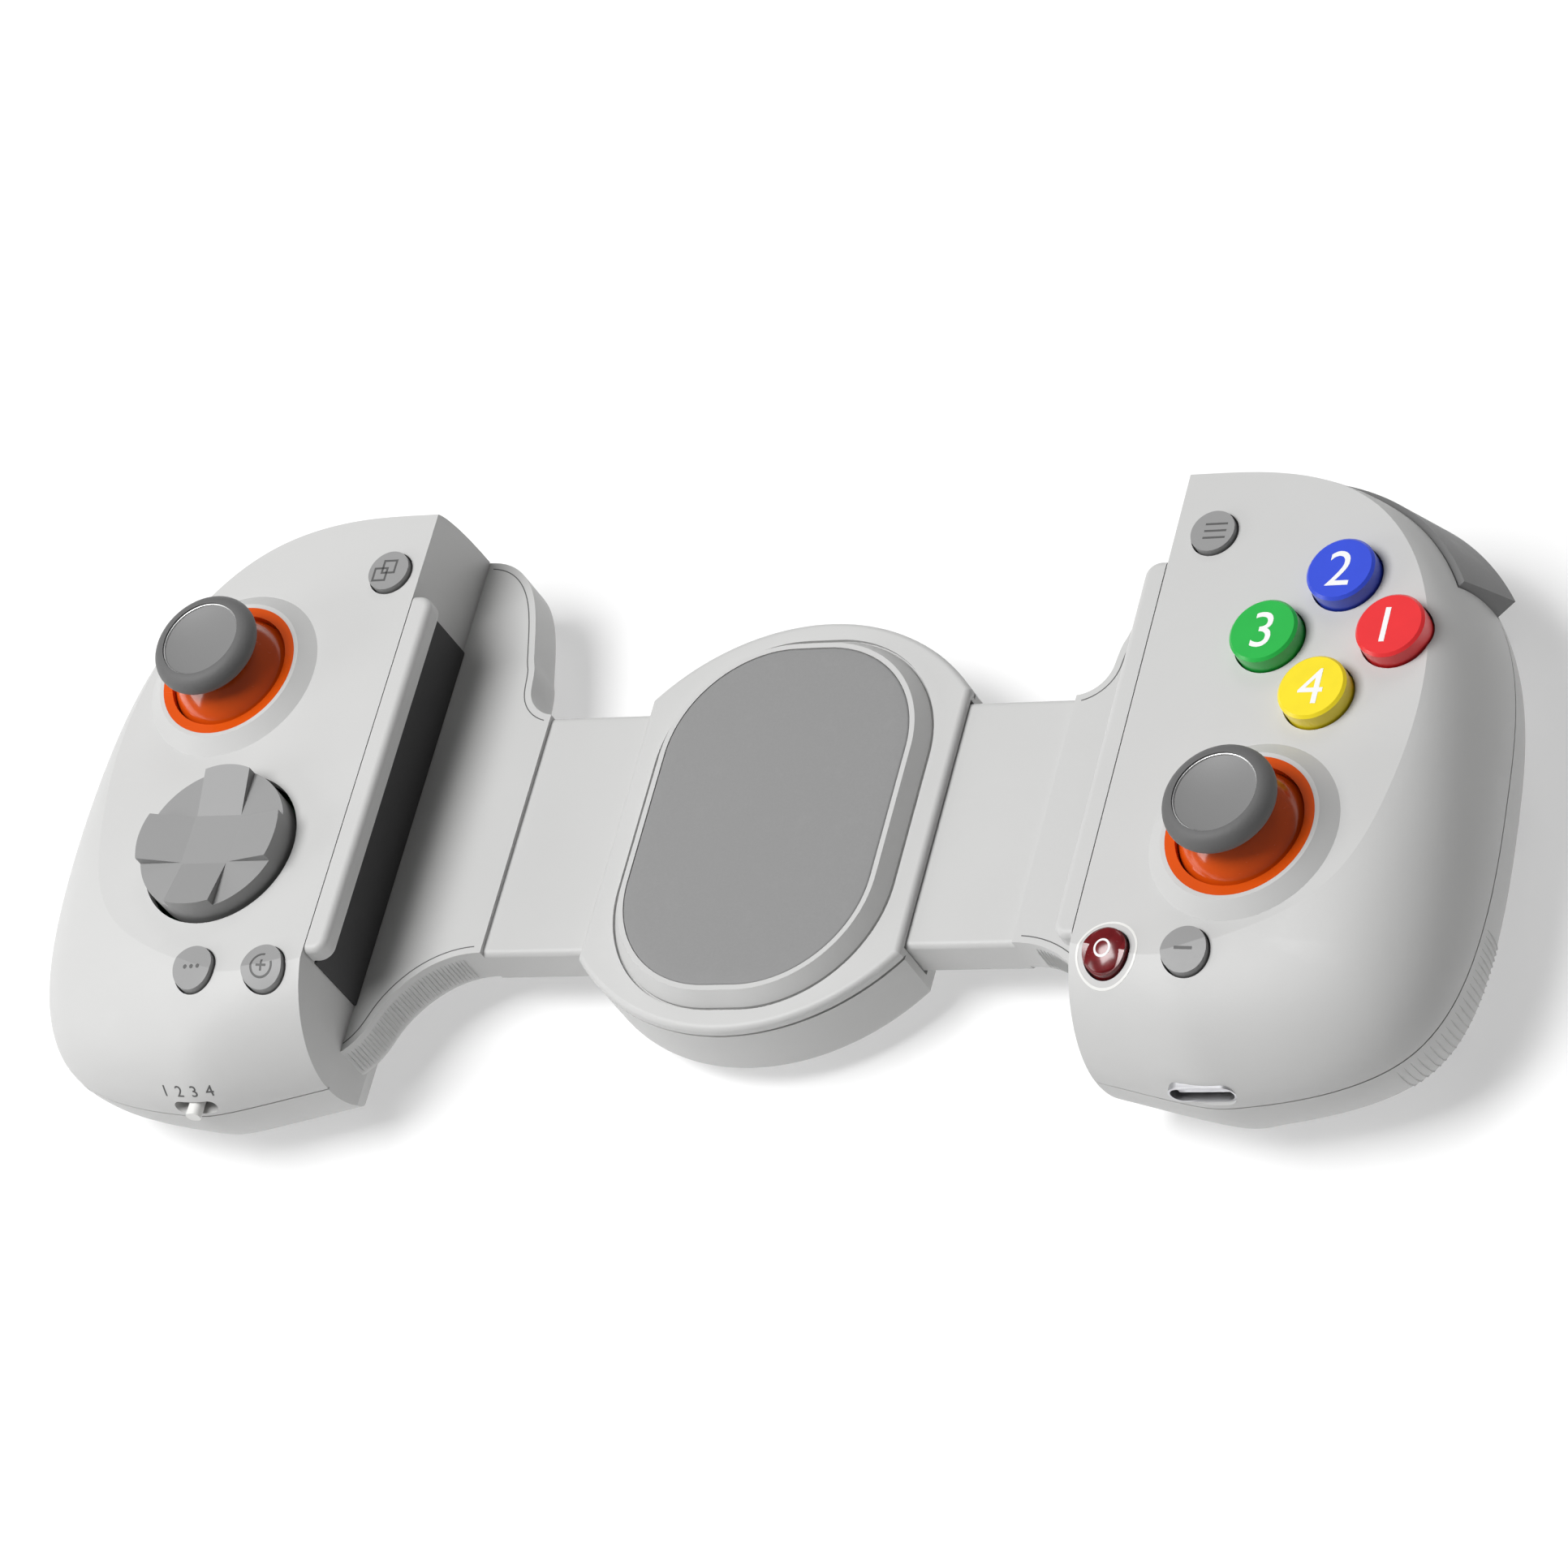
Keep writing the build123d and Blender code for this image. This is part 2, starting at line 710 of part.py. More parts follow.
def hub_cover():
    body = hub_disc(hub_seam_z, hub_top_z)
    body = fillet(body.edges().group_by(Axis.Z)[-1], hub_edge)
    groove = turned([
        (hub_radius - hub_groove, hub_seam_z), (hub_radius + cut_overrun, hub_seam_z),
        (hub_radius + cut_overrun, hub_seam_z + hub_groove),
        (hub_radius - hub_groove, hub_seam_z + hub_groove),
    ])
    body -= groove
    wide = 2 * frame_gap
    body -= rounded_slab(frame_width + wide, frame_length + wide, frame_corner + frame_gap,
                         hub_top_z - frame_sink, hub_top_z + cut_overrun)
    body -= arm_channels(hub_seam_z - cut_overrun, arm_top_z + slide_clearance)
    half = plate_width / 2
    roof_z = upper_plate_z + plate_thick + slide_clearance
    body += block(-guide_half_length, guide_half_length, -half, half, roof_z, hub_seam_z)
    spring_z = upper_plate_z + plate_thick + spring_gap + spring_radius
    room = spring_room(-1, spring_z)
    start = -guide_half_length + spring_anchor_wall
    tab_half = tab_width / 2 + spring_gap
    tab_room = block(-guide_half_length - cut_overrun, -start, spring_y - tab_half,
                     spring_y + tab_half, roof_z - cut_overrun, spring_z + spring_gap)
    body -= room + tab_room
    for x, y in hub_screw_places():
        body -= rod(screw_radius, x, y, hub_seam_z - cut_overrun, hub_top_z - cover_skin)
    return body


def hub_screw_set():
    screws = []
    for x, y in hub_screw_places():
        head_low = hub_low_z + screw_sink - screw_head_height
        head = rod(screw_head_radius, x, y, head_low, hub_low_z + screw_sink)
        screws.append(head + rod(screw_radius, x, y, hub_low_z + screw_sink, hub_top_z - cover_skin))
    return screws


def rounded_slab(width, length, corner, low_z, high_z):
    return extrude(Pos(0, 0, low_z) * RectangleRounded(width, length, corner), high_z - low_z)


def hub_pad_frame():
    narrow = 2 * frame_taper
    foot = rounded_slab(frame_width, frame_length, frame_corner, hub_top_z - frame_sink, hub_top_z)
    low = Pos(0, 0, hub_top_z) * RectangleRounded(frame_width, frame_length, frame_corner)
    high = Pos(0, 0, -frame_lip_drop) * RectangleRounded(
        frame_width - narrow, frame_length - narrow, frame_corner - frame_taper)
    return foot + loft([low, high]) - hub_pad_blank()


def hub_pad_blank():
    narrow = 2 * (frame_taper + frame_rim)
    return rounded_slab(frame_width - narrow, frame_length - narrow,
                        frame_corner - frame_taper - frame_rim, -pad_thick, 0)


def hub_pad():
    pad = hub_pad_blank()
    return fillet(pad.edges().group_by(Axis.Z)[-1], frame_lip_drop)


def return_spring(side):
    start = -guide_half_length + spring_anchor_wall
    length = -spring_tab_x - tab_thick - start
    z = lower_plate_z - spring_gap - spring_radius
    if side < 0:
        z = upper_plate_z + plate_thick + spring_gap + spring_radius
    coil = cross_rod(spring_radius, length, start + length / 2, -spring_y, z)
    return coil if side > 0 else Rot(0, 0, 180) * coil


# Thumb stick, built about its tilt centre
def at_stick(stick, solid):
    return Pos(grip_x(stick[0]), stick[1], stick_z) * solid


def stick_ring(stick):
    high = stick_depth
    low = high - ring_height
    return at_stick(stick, turned([
        (ring_bore, low), (ring_radius, low), (ring_radius, high), (ring_bore, high)]))


def tilt_seat(side_length, foot_low, foot_high, neck_radius_out, neck_wall, top, floor, pin_radius):
    """The fixed foot of a two-way tilt: a square block, a round neck and two pin holes."""
    half = side_length / 2
    foot = block(-half, half, -half, half, foot_low, foot_high)
    neck = rod(neck_radius_out, 0, 0, foot_high - neck_wall, top)
    seat = foot + neck - rod(neck_radius_out - neck_wall, 0, 0, floor, top + cut_overrun)
    return seat - cross_rod(pin_radius + pin_clearance, 2 * neck_radius_out + cut_overrun, 0, 0, 0)


def tilt_ring(radius, bore, half, pin_radius, pin_reach, inner_pin_radius):
    """The ring between the two tilt axes, with its own pins along X and holes along Y."""
    ring = rod(radius, 0, 0, -half, half) - rod(bore, 0, 0, -half - cut_overrun, half + cut_overrun)
    pins = cross_rod(pin_radius, 2 * pin_reach, 0, 0, 0) - rod((radius + bore) / 2, 0, 0, -half, half)
    holes = Pos(0, 0, 0) * Rot(90, 0, 0) * Cylinder(inner_pin_radius + pin_clearance, 2 * radius)
    return ring + pins - holes


def tilt_floor(ring_radius, ring_half, tilt):
    """The height of the seat's floor, just below the ring when that is tilted."""
    angle = radians(tilt)
    return -ring_radius * sin(angle) - ring_half * cos(angle) - slide_clearance


def stick_base(stick):
    return at_stick(stick, tilt_seat(
        stick_base_side, board_top_z - stick_z, -stick_base_drop, stick_neck_radius, stick_neck_wall,
        stick_ring_half, tilt_floor(stick_ring_radius, stick_ring_half, stick_tilt),
        stick_pin_radius))


def stick_gimbal(stick):
    return at_stick(stick, tilt_ring(
        stick_ring_radius, stick_ring_bore, stick_ring_half, stick_pin_radius, stick_neck_radius,
        stick_pin_radius))


def stick_shaft(stick):
    pin = Rot(90, 0, 0) * Cylinder(stick_pin_radius, 2 * stick_ring_radius - pin_clearance)
    return at_stick(stick, rod(shaft_radius, 0, 0, -shaft_foot, shaft_top) + pin)


def stick_skirt(stick):
    """The round skirt that closes the well, and the neck that carries the cap."""
    inner = skirt_radius - skirt_wall
    rim = radians(90 - skirt_rim_angle)
    bore = shaft_radius + pin_clearance
    outer_start = (skirt_radius * cos(rim), skirt_radius * sin(rim))
    outer_end = (neck_radius, (skirt_radius ** 2 - neck_radius ** 2) ** 0.5)
    inner_start = (inner * cos(rim), inner * sin(rim))
    inner_end = (bore, (inner ** 2 - bore ** 2) ** 0.5)
    neck_top = cap_base + skirt_wall
    edge = [
        RadiusArc(outer_start, outer_end, -skirt_radius),
        Polyline(outer_end, (neck_radius, neck_top), (bore, neck_top), inner_end),
        RadiusArc(inner_end, inner_start, inner),
        Line(inner_start, outer_start),
    ]
    return at_stick(stick, revolve(Plane.XZ * make_face(edge), axis=Axis.Z))


def stick_cap(stick):
    bore = shaft_radius + pin_clearance
    neck_top = cap_base + skirt_wall
    bore_top = shaft_top + click_travel + pin_clearance
    recess = cap_top - disc_sink - disc_thick
    cap = turned([
        (0, bore_top), (bore, bore_top), (bore, neck_top), (neck_radius, neck_top),
        (neck_radius, cap_base), (cap_radius, cap_base), (cap_radius, cap_top), (0, cap_top),
    ])
    circles = cap.edges().filter_by(GeomType.CIRCLE)
    rims = circles.filter_by(lambda e: e.radius > disc_radius + disc_dish)
    cap = fillet(rims, cap_round)
    return at_stick(stick, cap - rod(disc_radius, 0, 0, recess, cap_top + cut_overrun))


def stick_disc(stick):
    low = cap_top - disc_sink - disc_thick
    disc = rod(disc_radius, 0, 0, low, cap_top - disc_sink)
    dish_radius = (disc_radius ** 2 + disc_dish ** 2) / (2 * disc_dish)
    dish = Pos(0, 0, cap_top - disc_sink - disc_dish + dish_radius) * Sphere(dish_radius)
    return at_stick(stick, disc - dish)


# Direction pad
def at_dpad(solid):
    return Pos(grip_x(dpad_place[0]), dpad_place[1], front_z - dpad_pivot_drop) * solid


def dpad():
    """A round plate whose four arms climb from its flat middle to the rim."""
    face = dpad_pivot_drop
    plate = rod(dpad_radius, 0, 0, face - dpad_under, face + dpad_flat)
    profile = [
        (-dpad_radius, face), (dpad_radius, face), (dpad_radius, face + dpad_flat + dpad_rise),
        (dpad_flat_half, face + dpad_flat), (-dpad_flat_half, face + dpad_flat),
        (-dpad_radius, face + dpad_flat + dpad_rise),
    ]
    arm = extrude(Plane.XZ * make_face(Polyline(*profile, close=True)), dpad_arm / 2, both=True)
    cross = arm + Rot(0, 0, 90) * arm
    cross &= rod(dpad_radius, 0, 0, face, face + 2 * dpad_flat + dpad_rise)
    stem = rod(dpad_stem_radius, 0, 0, -dpad_ring_half, face - dpad_under)
    pin = Rot(90, 0, 0) * Cylinder(dpad_pin_radius, 2 * dpad_ring_radius - pin_clearance)
    return at_dpad(plate + cross + stem + pin)


def dpad_seat():
    floor = tilt_floor(dpad_ring_radius, dpad_ring_half, dpad_tilt)
    return at_dpad(tilt_seat(
        dpad_foot_side, board_top_z - front_z + dpad_pivot_drop, floor - dpad_foot_drop,
        dpad_neck_radius, dpad_neck_wall, dpad_ring_half, floor, dpad_pin_radius))


def dpad_rocker():
    return at_dpad(tilt_ring(
        dpad_ring_radius, dpad_ring_bore, dpad_ring_half, dpad_pin_radius, dpad_neck_radius,
        dpad_pin_radius))


# Push buttons
key_room = front_room(shell_wall + shoulder_gap)


def switch_top():
    return board_top_z + switch_height


def push_button(place, radius, top, flange_z, travel):
    """A key with its flange under the shell and its stem over the switch on the board."""
    x, y = grip_x(place[0]), place[1]
    flange = rod(radius + flange_extra, x, y, flange_z - flange_thick, flange_z) & key_room
    stem = rod(stem_radius, x, y, switch_top() + travel + pin_clearance, flange_z)
    return top + flange + stem


def face_button(index):
    turn = pi / 2 * index
    x = face_button_middle[0] + face_button_pitch * cos(turn)
    y = face_button_middle[1] + face_button_pitch * sin(turn)
    flange_z = ceiling_z - shoulder_gap
    top_z = front_z + face_button_height
    top = rod(face_button_radius, grip_x(x), y, flange_z - flange_thick, top_z)
    top = chamfer(top.edges().group_by(Axis.Z)[-1], face_button_chamfer)
    return push_button((x, y), face_button_radius, top, flange_z, button_travel)


def small_button(place, flange_drop):
    """A small key whose face follows the grip's front, a little above it."""
    flange_z = front_z - flange_drop
    top = rod(small_button_radius, grip_x(place[0]), place[1], flange_z - flange_thick,
              front_z + cut_overrun)
    top = top & (Pos(0, 0, small_button_height) * front_body)
    return push_button(place, small_button_radius, top, flange_z, small_travel)


# Bumpers and triggers
def bumper():
    top_z = front_z - bumper_drop
    low_z = seam_z + shoulder_gap
    outer = Solid.make_loft([
        outline_wire(grown(outline_at(top_z), bumper_front_proud), top_z),
        outline_wire(grown(seam_outline, bumper_back_proud), low_z),
    ])
    inner = slab(grown(seam_outline, -bumper_depth), low_z - cut_overrun, top_z + cut_overrun)
    band = (outer - inner) & bumper_strip(0, low_z, top_z)
    x, y = corner_place(-bumper_pin_back, -bumper_pin_in)
    return band - rod(bumper_pin_radius + pin_clearance, x, y, low_z - cut_overrun, top_z + cut_overrun)


trigger_top_z = seam_z - trigger_gap
trigger_low_z = trigger_top_z - trigger_height
trigger_pin_z = trigger_top_z - trigger_pin_drop


def trigger_bar(radius, half_length):
    bar = Rot(0, 0, -corner_angle) * Rot(0, 90, 0) * Cylinder(radius, 2 * half_length)
    return Pos(*corner_place(trigger_middle, -trigger_pin_in), trigger_pin_z) * bar


def trigger_pin():
    return trigger_bar(trigger_pin_radius, lug_start + lug_thick)


def lug_spans(gap):
    """Where the two lugs start and end along the corner, with a gap on each side of them."""
    far = trigger_middle + lug_start
    near = trigger_middle - lug_start - lug_thick
    return [(start - gap, start + lug_thick + gap) for start in (near, far)]


def trigger_lugs():
    """The two hooked lugs that rise from the back shell's floor and hold the trigger's pin."""
    lugs = []
    front = lug_round - trigger_pin_in
    for start, end in lug_spans(0):
        lugs.append(corner_block(start, end, -lug_back, lug_post - lug_back, back_z, trigger_top_z))
        lugs.append(corner_block(start, end, -lug_back, front, trigger_pin_z - lug_round,
                                 trigger_top_z))
    return lugs


def trigger():
    """A finger bar with a flared lip, a hinge barrel, and slots that clear the two lugs."""
    middle_z = (trigger_top_z + trigger_low_z) / 2
    outer = Solid.make_loft([
        outline_wire(grown(seam_outline, trigger_front_proud), trigger_top_z),
        outline_wire(grown(seam_outline, trigger_waist_proud), middle_z),
        outline_wire(grown(seam_outline, trigger_back_proud), trigger_low_z),
    ])
    inner = slab(grown(seam_outline, -trigger_depth), trigger_low_z - cut_overrun,
                 trigger_top_z + cut_overrun)
    band = (outer - inner) & trigger_strip(0, trigger_low_z, trigger_top_z)
    band += trigger_bar(trigger_pin_drop, lug_start - lug_gap)
    turn_radius = lug_round * sqrt(2) + lug_gap
    for start, end in lug_spans(lug_gap):
        band -= corner_block(start, end, -lug_back, -trigger_pin_in, trigger_pin_z - turn_radius,
                             trigger_top_z + cut_overrun)
        disc = Rot(0, 0, -corner_angle) * Rot(0, 90, 0) * Cylinder(turn_radius, end - start)
        band -= Pos(*corner_place((start + end) / 2, -trigger_pin_in), trigger_pin_z) * disc
    return band - trigger_bar(trigger_pin_radius + pin_clearance, 2 * trigger_half_length)


# Circuit board, socket, switch and battery
def board(switch_places, notch):
    outline = hollowed(seam_outline, board_inset)
    sheet = slab(outline, board_z, board_top_z) - wall_side(board_inset)
    low, high = board_z - cut_overrun, board_top_z + cut_overrun
    kept = slab(grown(seam_outline, -2 * bumper_depth), low - cut_overrun, high + cut_overrun)
    sheet -= bumper_strip(2 * shoulder_gap, low, high) - kept
    sheet -= screw_posts(low, high, screw_boss_radius + board_hole_gap)
    for x, y in switch_places:
        sheet += rod(switch_radius, grip_x(x), y, board_top_z, switch_top())
    return sheet - notch


def end_slot(x, drop, width, height, y0, y1):
    """A slot with round ends that runs along Y through the grip's lower end."""
    face = Plane.XZ * SlotOverall(width, height)
    return Pos(grip_x(x), y1, front_z - drop) * extrude(face, y1 - y0)


lower_end_y = min(y for x, y in seam_outline)


def charging_socket():
    y0 = lower_end_y + socket_sink
    y1 = y0 + socket_depth
    outer = end_slot(socket_x, socket_drop, socket_width, socket_height, y0, y1)
    thin = 2 * socket_wall
    bore = end_slot(socket_x, socket_drop, socket_width - thin, socket_height - thin, y0 - cut_overrun,
                    y1 - 2 * socket_wall)
    half = socket_tongue_width / 2
    x = grip_x(socket_x)
    z = front_z - socket_drop
    tongue = block(x - half, x + half, y0 + 2 * socket_wall, y1 - socket_wall, z - socket_tongue / 2,
                   z + socket_tongue / 2)
    return outer - bore + tongue


def mode_knob():
    """A round-ended knob in the slot, and the plate behind the wall that it slides on."""
    x = grip_x(switch_x)
    z = front_z - switch_drop
    y0 = lower_end_y - switch_proud
    y_plate = lower_end_y + shell_wall + shoulder_gap
    knob_height = switch_slot_height - 2 * slide_clearance
    corner = switch_round_share * min(switch_knob, knob_height)
    face = Plane.XZ * RectangleRounded(switch_knob, knob_height, corner)
    knob = Pos(x, y_plate, z) * extrude(face, y_plate - y0)
    half = switch_slot / 2 + switch_travel / 2
    plate = block(x - half, x + half, y_plate, y_plate + switch_plate, z - switch_slot_height / 2,
                  z + switch_slot_height)
    for shift in (-switch_travel / 2, switch_travel / 2):
        plate &= Pos(shift, 0, 0) * key_room
    return knob + plate


def battery():
    x, y = battery_place
    x = grip_x(x)
    low = back_z + shell_wall
    cell = block(x - battery_width / 2, x + battery_width / 2, y - battery_length / 2,
                 y + battery_length / 2, low, low + battery_thick)
    return fillet(cell.edges().filter_by(Axis.Y), battery_edge)


hole_small = small_button_radius + button_clearance
hole_face = face_button_radius + button_clearance
small_places = {
    "left": [grip_place(small_top_left_share), small_low_place, small_outer_place],
    "right": [grip_place(small_top_right_share), small_low_place, small_outer_place],
}
small_drops = [shell_wall + shoulder_gap, small_low_flange_drop, small_low_flange_drop]
face_places = [
    (face_button_middle[0] + face_button_pitch * cos(pi / 2 * i),
     face_button_middle[1] + face_button_pitch * sin(pi / 2 * i)) for i in range(4)
]


def common_pieces(stick, holes, end_cut, plate, switches, notch):
    """The pieces that both grips have, modelled as in the right grip."""
    return {
        "front_shell": front_shell(stick, holes, end_cut),
        "back_shell": back_shell(plate),
        "arm_sleeve": arm_sleeve(),
        "clamp_lip": clamp_lip(),
        "clamp_pad": clamp_pad(),
        "fasteners": shell_screw_set() + [trigger_pin()],
        "stick_ring": stick_ring(stick),
        "stick_base": stick_base(stick),
        "stick_gimbal": stick_gimbal(stick),
        "stick_shaft": stick_shaft(stick),
        "stick_skirt": stick_skirt(stick),
        "stick_cap": stick_cap(stick),
        "stick_disc": stick_disc(stick),
        "bumper": bumper(),
        "trigger": trigger(),
        "board": board(switches, notch),
    }


small_holes = {side: [(x, y, hole_small) for x, y in small_places[side]] for side in small_places}
face_holes = [(x, y, hole_face) for x, y in face_places]
dpad_hole = [(dpad_place[0], dpad_place[1], dpad_radius + dpad_gap)]
slot_cut = end_slot(switch_x, switch_drop, switch_slot, switch_slot_height,
                    lower_end_y - cut_overrun, lower_end_y + 2 * shell_wall)
socket_cut = end_slot(socket_x, socket_drop, socket_width, socket_height, lower_end_y - cut_overrun,
                      lower_end_y + socket_depth)
notch_half = socket_width / 2 + shoulder_gap
socket_notch = block(
    grip_x(socket_x) - notch_half, grip_x(socket_x) + notch_half, lower_end_y,
    lower_end_y + socket_sink + socket_depth + shoulder_gap, board_z - cut_overrun,
    board_top_z + cut_overrun)
lower_spring_z = lower_plate_z - spring_gap - spring_radius
upper_spring_z = upper_plate_z + plate_thick + spring_gap + spring_radius
right_plate = slide_plate(lower_plate_z, lower_spring_z - spring_gap, lower_plate_z + plate_thick)
left_plate = Rot(0, 0, 180) * slide_plate(upper_plate_z, upper_plate_z, upper_spring_z + spring_gap)
left_plate_here = mirror(left_plate, about=Plane.YZ)

pieces = {
    "hub_base": hub_base(),
    "hub_cover": hub_cover(),
    "hub_pad_frame": hub_pad_frame(),
    "hub_pad": hub_pad(),
    "hub_screws": hub_screw_set(),
    "sync_pinion": sync_pinion(),
    "left_return_spring": return_spring(-1),
    "right_return_spring": return_spring(1),
    "left_slide_plate": left_plate,
    "right_slide_plate": right_plate,
}

left = common_pieces(stick_left, small_holes["left"] + dpad_hole, slot_cut, left_plate_here,
                     small_places["left"], Part())
left["dpad"] = dpad()
left["dpad_rocker"] = dpad_rocker()
left["dpad_seat"] = dpad_seat()
left["mode_knob"] = mode_knob()
left["battery"] = battery()
right = common_pieces(stick_right, small_holes["right"] + face_holes, socket_cut, right_plate,
                      small_places["right"] + face_places, socket_notch)
right["charging_socket"] = charging_socket()
for index in range(4):
    right["face_button_" + str(index + 1)] = face_button(index)
for name, left_place, right_place, drop in zip(
        ["top", "low", "outer"], small_places["left"], small_places["right"], small_drops):
    left["small_button_" + name] = small_button(left_place, drop)
    right["small_button_" + name] = small_button(right_place, drop)


def exported(name, solids):
    if isinstance(solids, list):
        solids = Compound(children=solids)
    export_step(solids, "parts/" + name + ".step")


os.makedirs("parts", exist_ok=True)
for name, solid in pieces.items():
    exported(name, solid)
for name, solid in right.items():
    exported("right_" + name, solid)
for name, solid in left.items():
    if isinstance(solid, list):
        exported("left_" + name, [mirror(each, about=Plane.YZ) for each in solid])
    else:
        exported("left_" + name, mirror(solid, about=Plane.YZ))
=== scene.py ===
import json
from math import copysign, cos, pi, radians, sin

import bmesh
import bpy
from bpy.props import FloatProperty, FloatVectorProperty, IntProperty, PointerProperty
from bpy.types import Operator, Panel, PropertyGroup
from mathutils import Matrix, Vector
from mathutils.bvhtree import BVHTree

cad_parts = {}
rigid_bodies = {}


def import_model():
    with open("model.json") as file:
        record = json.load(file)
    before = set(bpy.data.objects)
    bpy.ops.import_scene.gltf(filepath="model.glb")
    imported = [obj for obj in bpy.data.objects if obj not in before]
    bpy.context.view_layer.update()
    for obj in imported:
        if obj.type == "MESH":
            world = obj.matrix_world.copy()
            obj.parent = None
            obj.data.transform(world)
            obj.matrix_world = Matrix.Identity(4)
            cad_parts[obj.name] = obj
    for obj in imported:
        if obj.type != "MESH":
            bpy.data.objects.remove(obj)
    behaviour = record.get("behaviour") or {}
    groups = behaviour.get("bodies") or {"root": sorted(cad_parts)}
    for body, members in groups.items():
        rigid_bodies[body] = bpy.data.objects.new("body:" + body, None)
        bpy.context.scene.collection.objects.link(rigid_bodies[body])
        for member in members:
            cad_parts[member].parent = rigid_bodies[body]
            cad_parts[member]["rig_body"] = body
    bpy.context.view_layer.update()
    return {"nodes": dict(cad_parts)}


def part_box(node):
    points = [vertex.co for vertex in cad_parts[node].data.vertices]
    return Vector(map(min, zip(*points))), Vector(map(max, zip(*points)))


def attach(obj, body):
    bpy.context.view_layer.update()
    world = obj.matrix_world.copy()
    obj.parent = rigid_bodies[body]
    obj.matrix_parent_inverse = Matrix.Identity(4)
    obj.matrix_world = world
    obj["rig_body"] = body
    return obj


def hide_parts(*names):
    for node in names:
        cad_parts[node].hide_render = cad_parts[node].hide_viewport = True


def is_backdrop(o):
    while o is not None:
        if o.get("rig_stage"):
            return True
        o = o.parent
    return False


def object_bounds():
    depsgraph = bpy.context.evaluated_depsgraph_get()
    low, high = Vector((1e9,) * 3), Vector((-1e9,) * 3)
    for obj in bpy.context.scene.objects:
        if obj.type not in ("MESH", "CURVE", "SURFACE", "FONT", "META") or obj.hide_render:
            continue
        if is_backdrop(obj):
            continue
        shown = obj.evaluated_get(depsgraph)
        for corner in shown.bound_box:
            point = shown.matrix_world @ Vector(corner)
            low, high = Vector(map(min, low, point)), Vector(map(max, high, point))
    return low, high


bl_info = {
    "name": "Telescopic game controller",
    "version": (1, 0, 0),
    "blender": (4, 5, 0),
    "location": "View3D > Sidebar > Controller",
    "description": "Finishes, marks and soft pads of a two-grip game controller",
    "category": "Object",
}

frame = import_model()
sides = ("left", "right")

# The camera at the photograph's viewing angle: metres, degrees and millimetres
CAMERA_PLACE = (0.47885, -0.44869, 0.70794)
CAMERA_TURN = (35.66838, 25.63834, 15.41157)
CAMERA_LENS = 175.92
CAMERA_SENSOR = 36
CAMERA_REACH = 50

# Places and sides of the square lights, in metres
KEY_LIGHT = (-0.4, -0.15, 1.2), 0.7
FILL_LIGHT = (-1.1, -0.5, 0.5), 0.5
BACK_LIGHT = (0.1, 1.0, 0.8), 0.4

# Sockets of the Mix node when it mixes colours
MIX_FIRST, MIX_SECOND, MIX_RESULT = 6, 7, 2

# Marks
LOOK_FROM = 0.03  # metres above a surface from which a mark drops on it
DIGIT_SHARE = 0.7  # a digit's height, as a share of its font's size
ICON_CUTS = 4  # rounds in which the long edges of an icon or a line are halved
NUMERAL_CUTS = 3  # and those of a numeral
NUMERAL_COARSENESS = 4  # longest edge of a face key's numeral, in an icon's longest edges
PARTING_COARSENESS = 8  # and that of a parting line
SWITCH_PITCH = 1.35  # from switch numeral to switch numeral, in numeral heights
SWITCH_LOOK = Vector((0, 0.9, -0.44)).normalized()  # square to the shell above the switch
SWITCH_RISE = (-0.004, 0.0042)  # from the switch's knob to its numerals, along y and z

# Pads, domes and ribs
CORNER_STEPS = 14  # points in each corner of a pad
EDGE_STEPS = 6  # rings round a pad's soft edge
CROWN_STEPS = 10  # rings from there to its middle, the last of which is left out
LEAST_CORNER = 0.02  # a pad's smallest corner, as a share of its edge
DOME_RINGS = 12
DOME_SIDES = 64
RIB_END = 0.3  # a rib's height at its ends, as a share

# How far apart two places may be and count as one, in metres
SAME_PLACE = 1e-6
SAME_LEVEL = 1e-5
SEAM_GAP = 1e-4  # kept between the points of a wing's edge and the seams at its ends


# Settings
def millimetres(name, description, default):
    return FloatProperty(name=name, description=description, default=default / 1000,
                         subtype="DISTANCE", unit="LENGTH", precision=5)


def tint(name, description, default):
    return FloatVectorProperty(name=name, description=description, default=default,
                               subtype="COLOR", size=3, min=0, max=1)


def share(name, description, default):
    return FloatProperty(name=name, description=description, default=default,
                         min=0, max=1, subtype="FACTOR")


class FinishSettings(PropertyGroup):
    shell: tint("Shell", "Colour of the moulded shells", (0.52, 0.52, 0.515))
    wall_pad: tint("Clamp pads", "Colour of the pads on the clamp walls", (0.045, 0.045, 0.046))
    rest_pad: tint("Middle pad", "Colour of the pad that the phone lies on", (0.235, 0.235, 0.235))
    key: tint("Grey keys", "Colour of the direction pad and the small keys", (0.27, 0.27, 0.27))
    stick: tint("Stick grip", "Colour of the rubber round a stick's top", (0.115, 0.115, 0.115))
    disc: tint("Stick face", "Colour of the dished face of a stick", (0.2, 0.2, 0.2))
    orange: tint("Stick skirt", "Colour of the ring and skirt round a stick", (0.64, 0.078, 0.004))
    shoulder: tint("Shoulder keys", "Colour of the bumpers and triggers", (0.17, 0.17, 0.17))
    red: tint("Key 1", "Colour of the right face key", (0.75, 0.025, 0.03))
    blue: tint("Key 2", "Colour of the upper face key", (0.03, 0.07, 0.62))
    green: tint("Key 3", "Colour of the left face key", (0.015, 0.42, 0.06))
    yellow: tint("Key 4", "Colour of the lower face key", (0.85, 0.68, 0.015))
    home: tint("Home key", "Colour under the clear top of the home key", (0.1, 0.003, 0.005))
    mark: tint("Marks", "Colour of the marks printed on the face keys", (0.8, 0.8, 0.8))
    grain: share("Grain", "Depth of the moulded grain", 0.35)


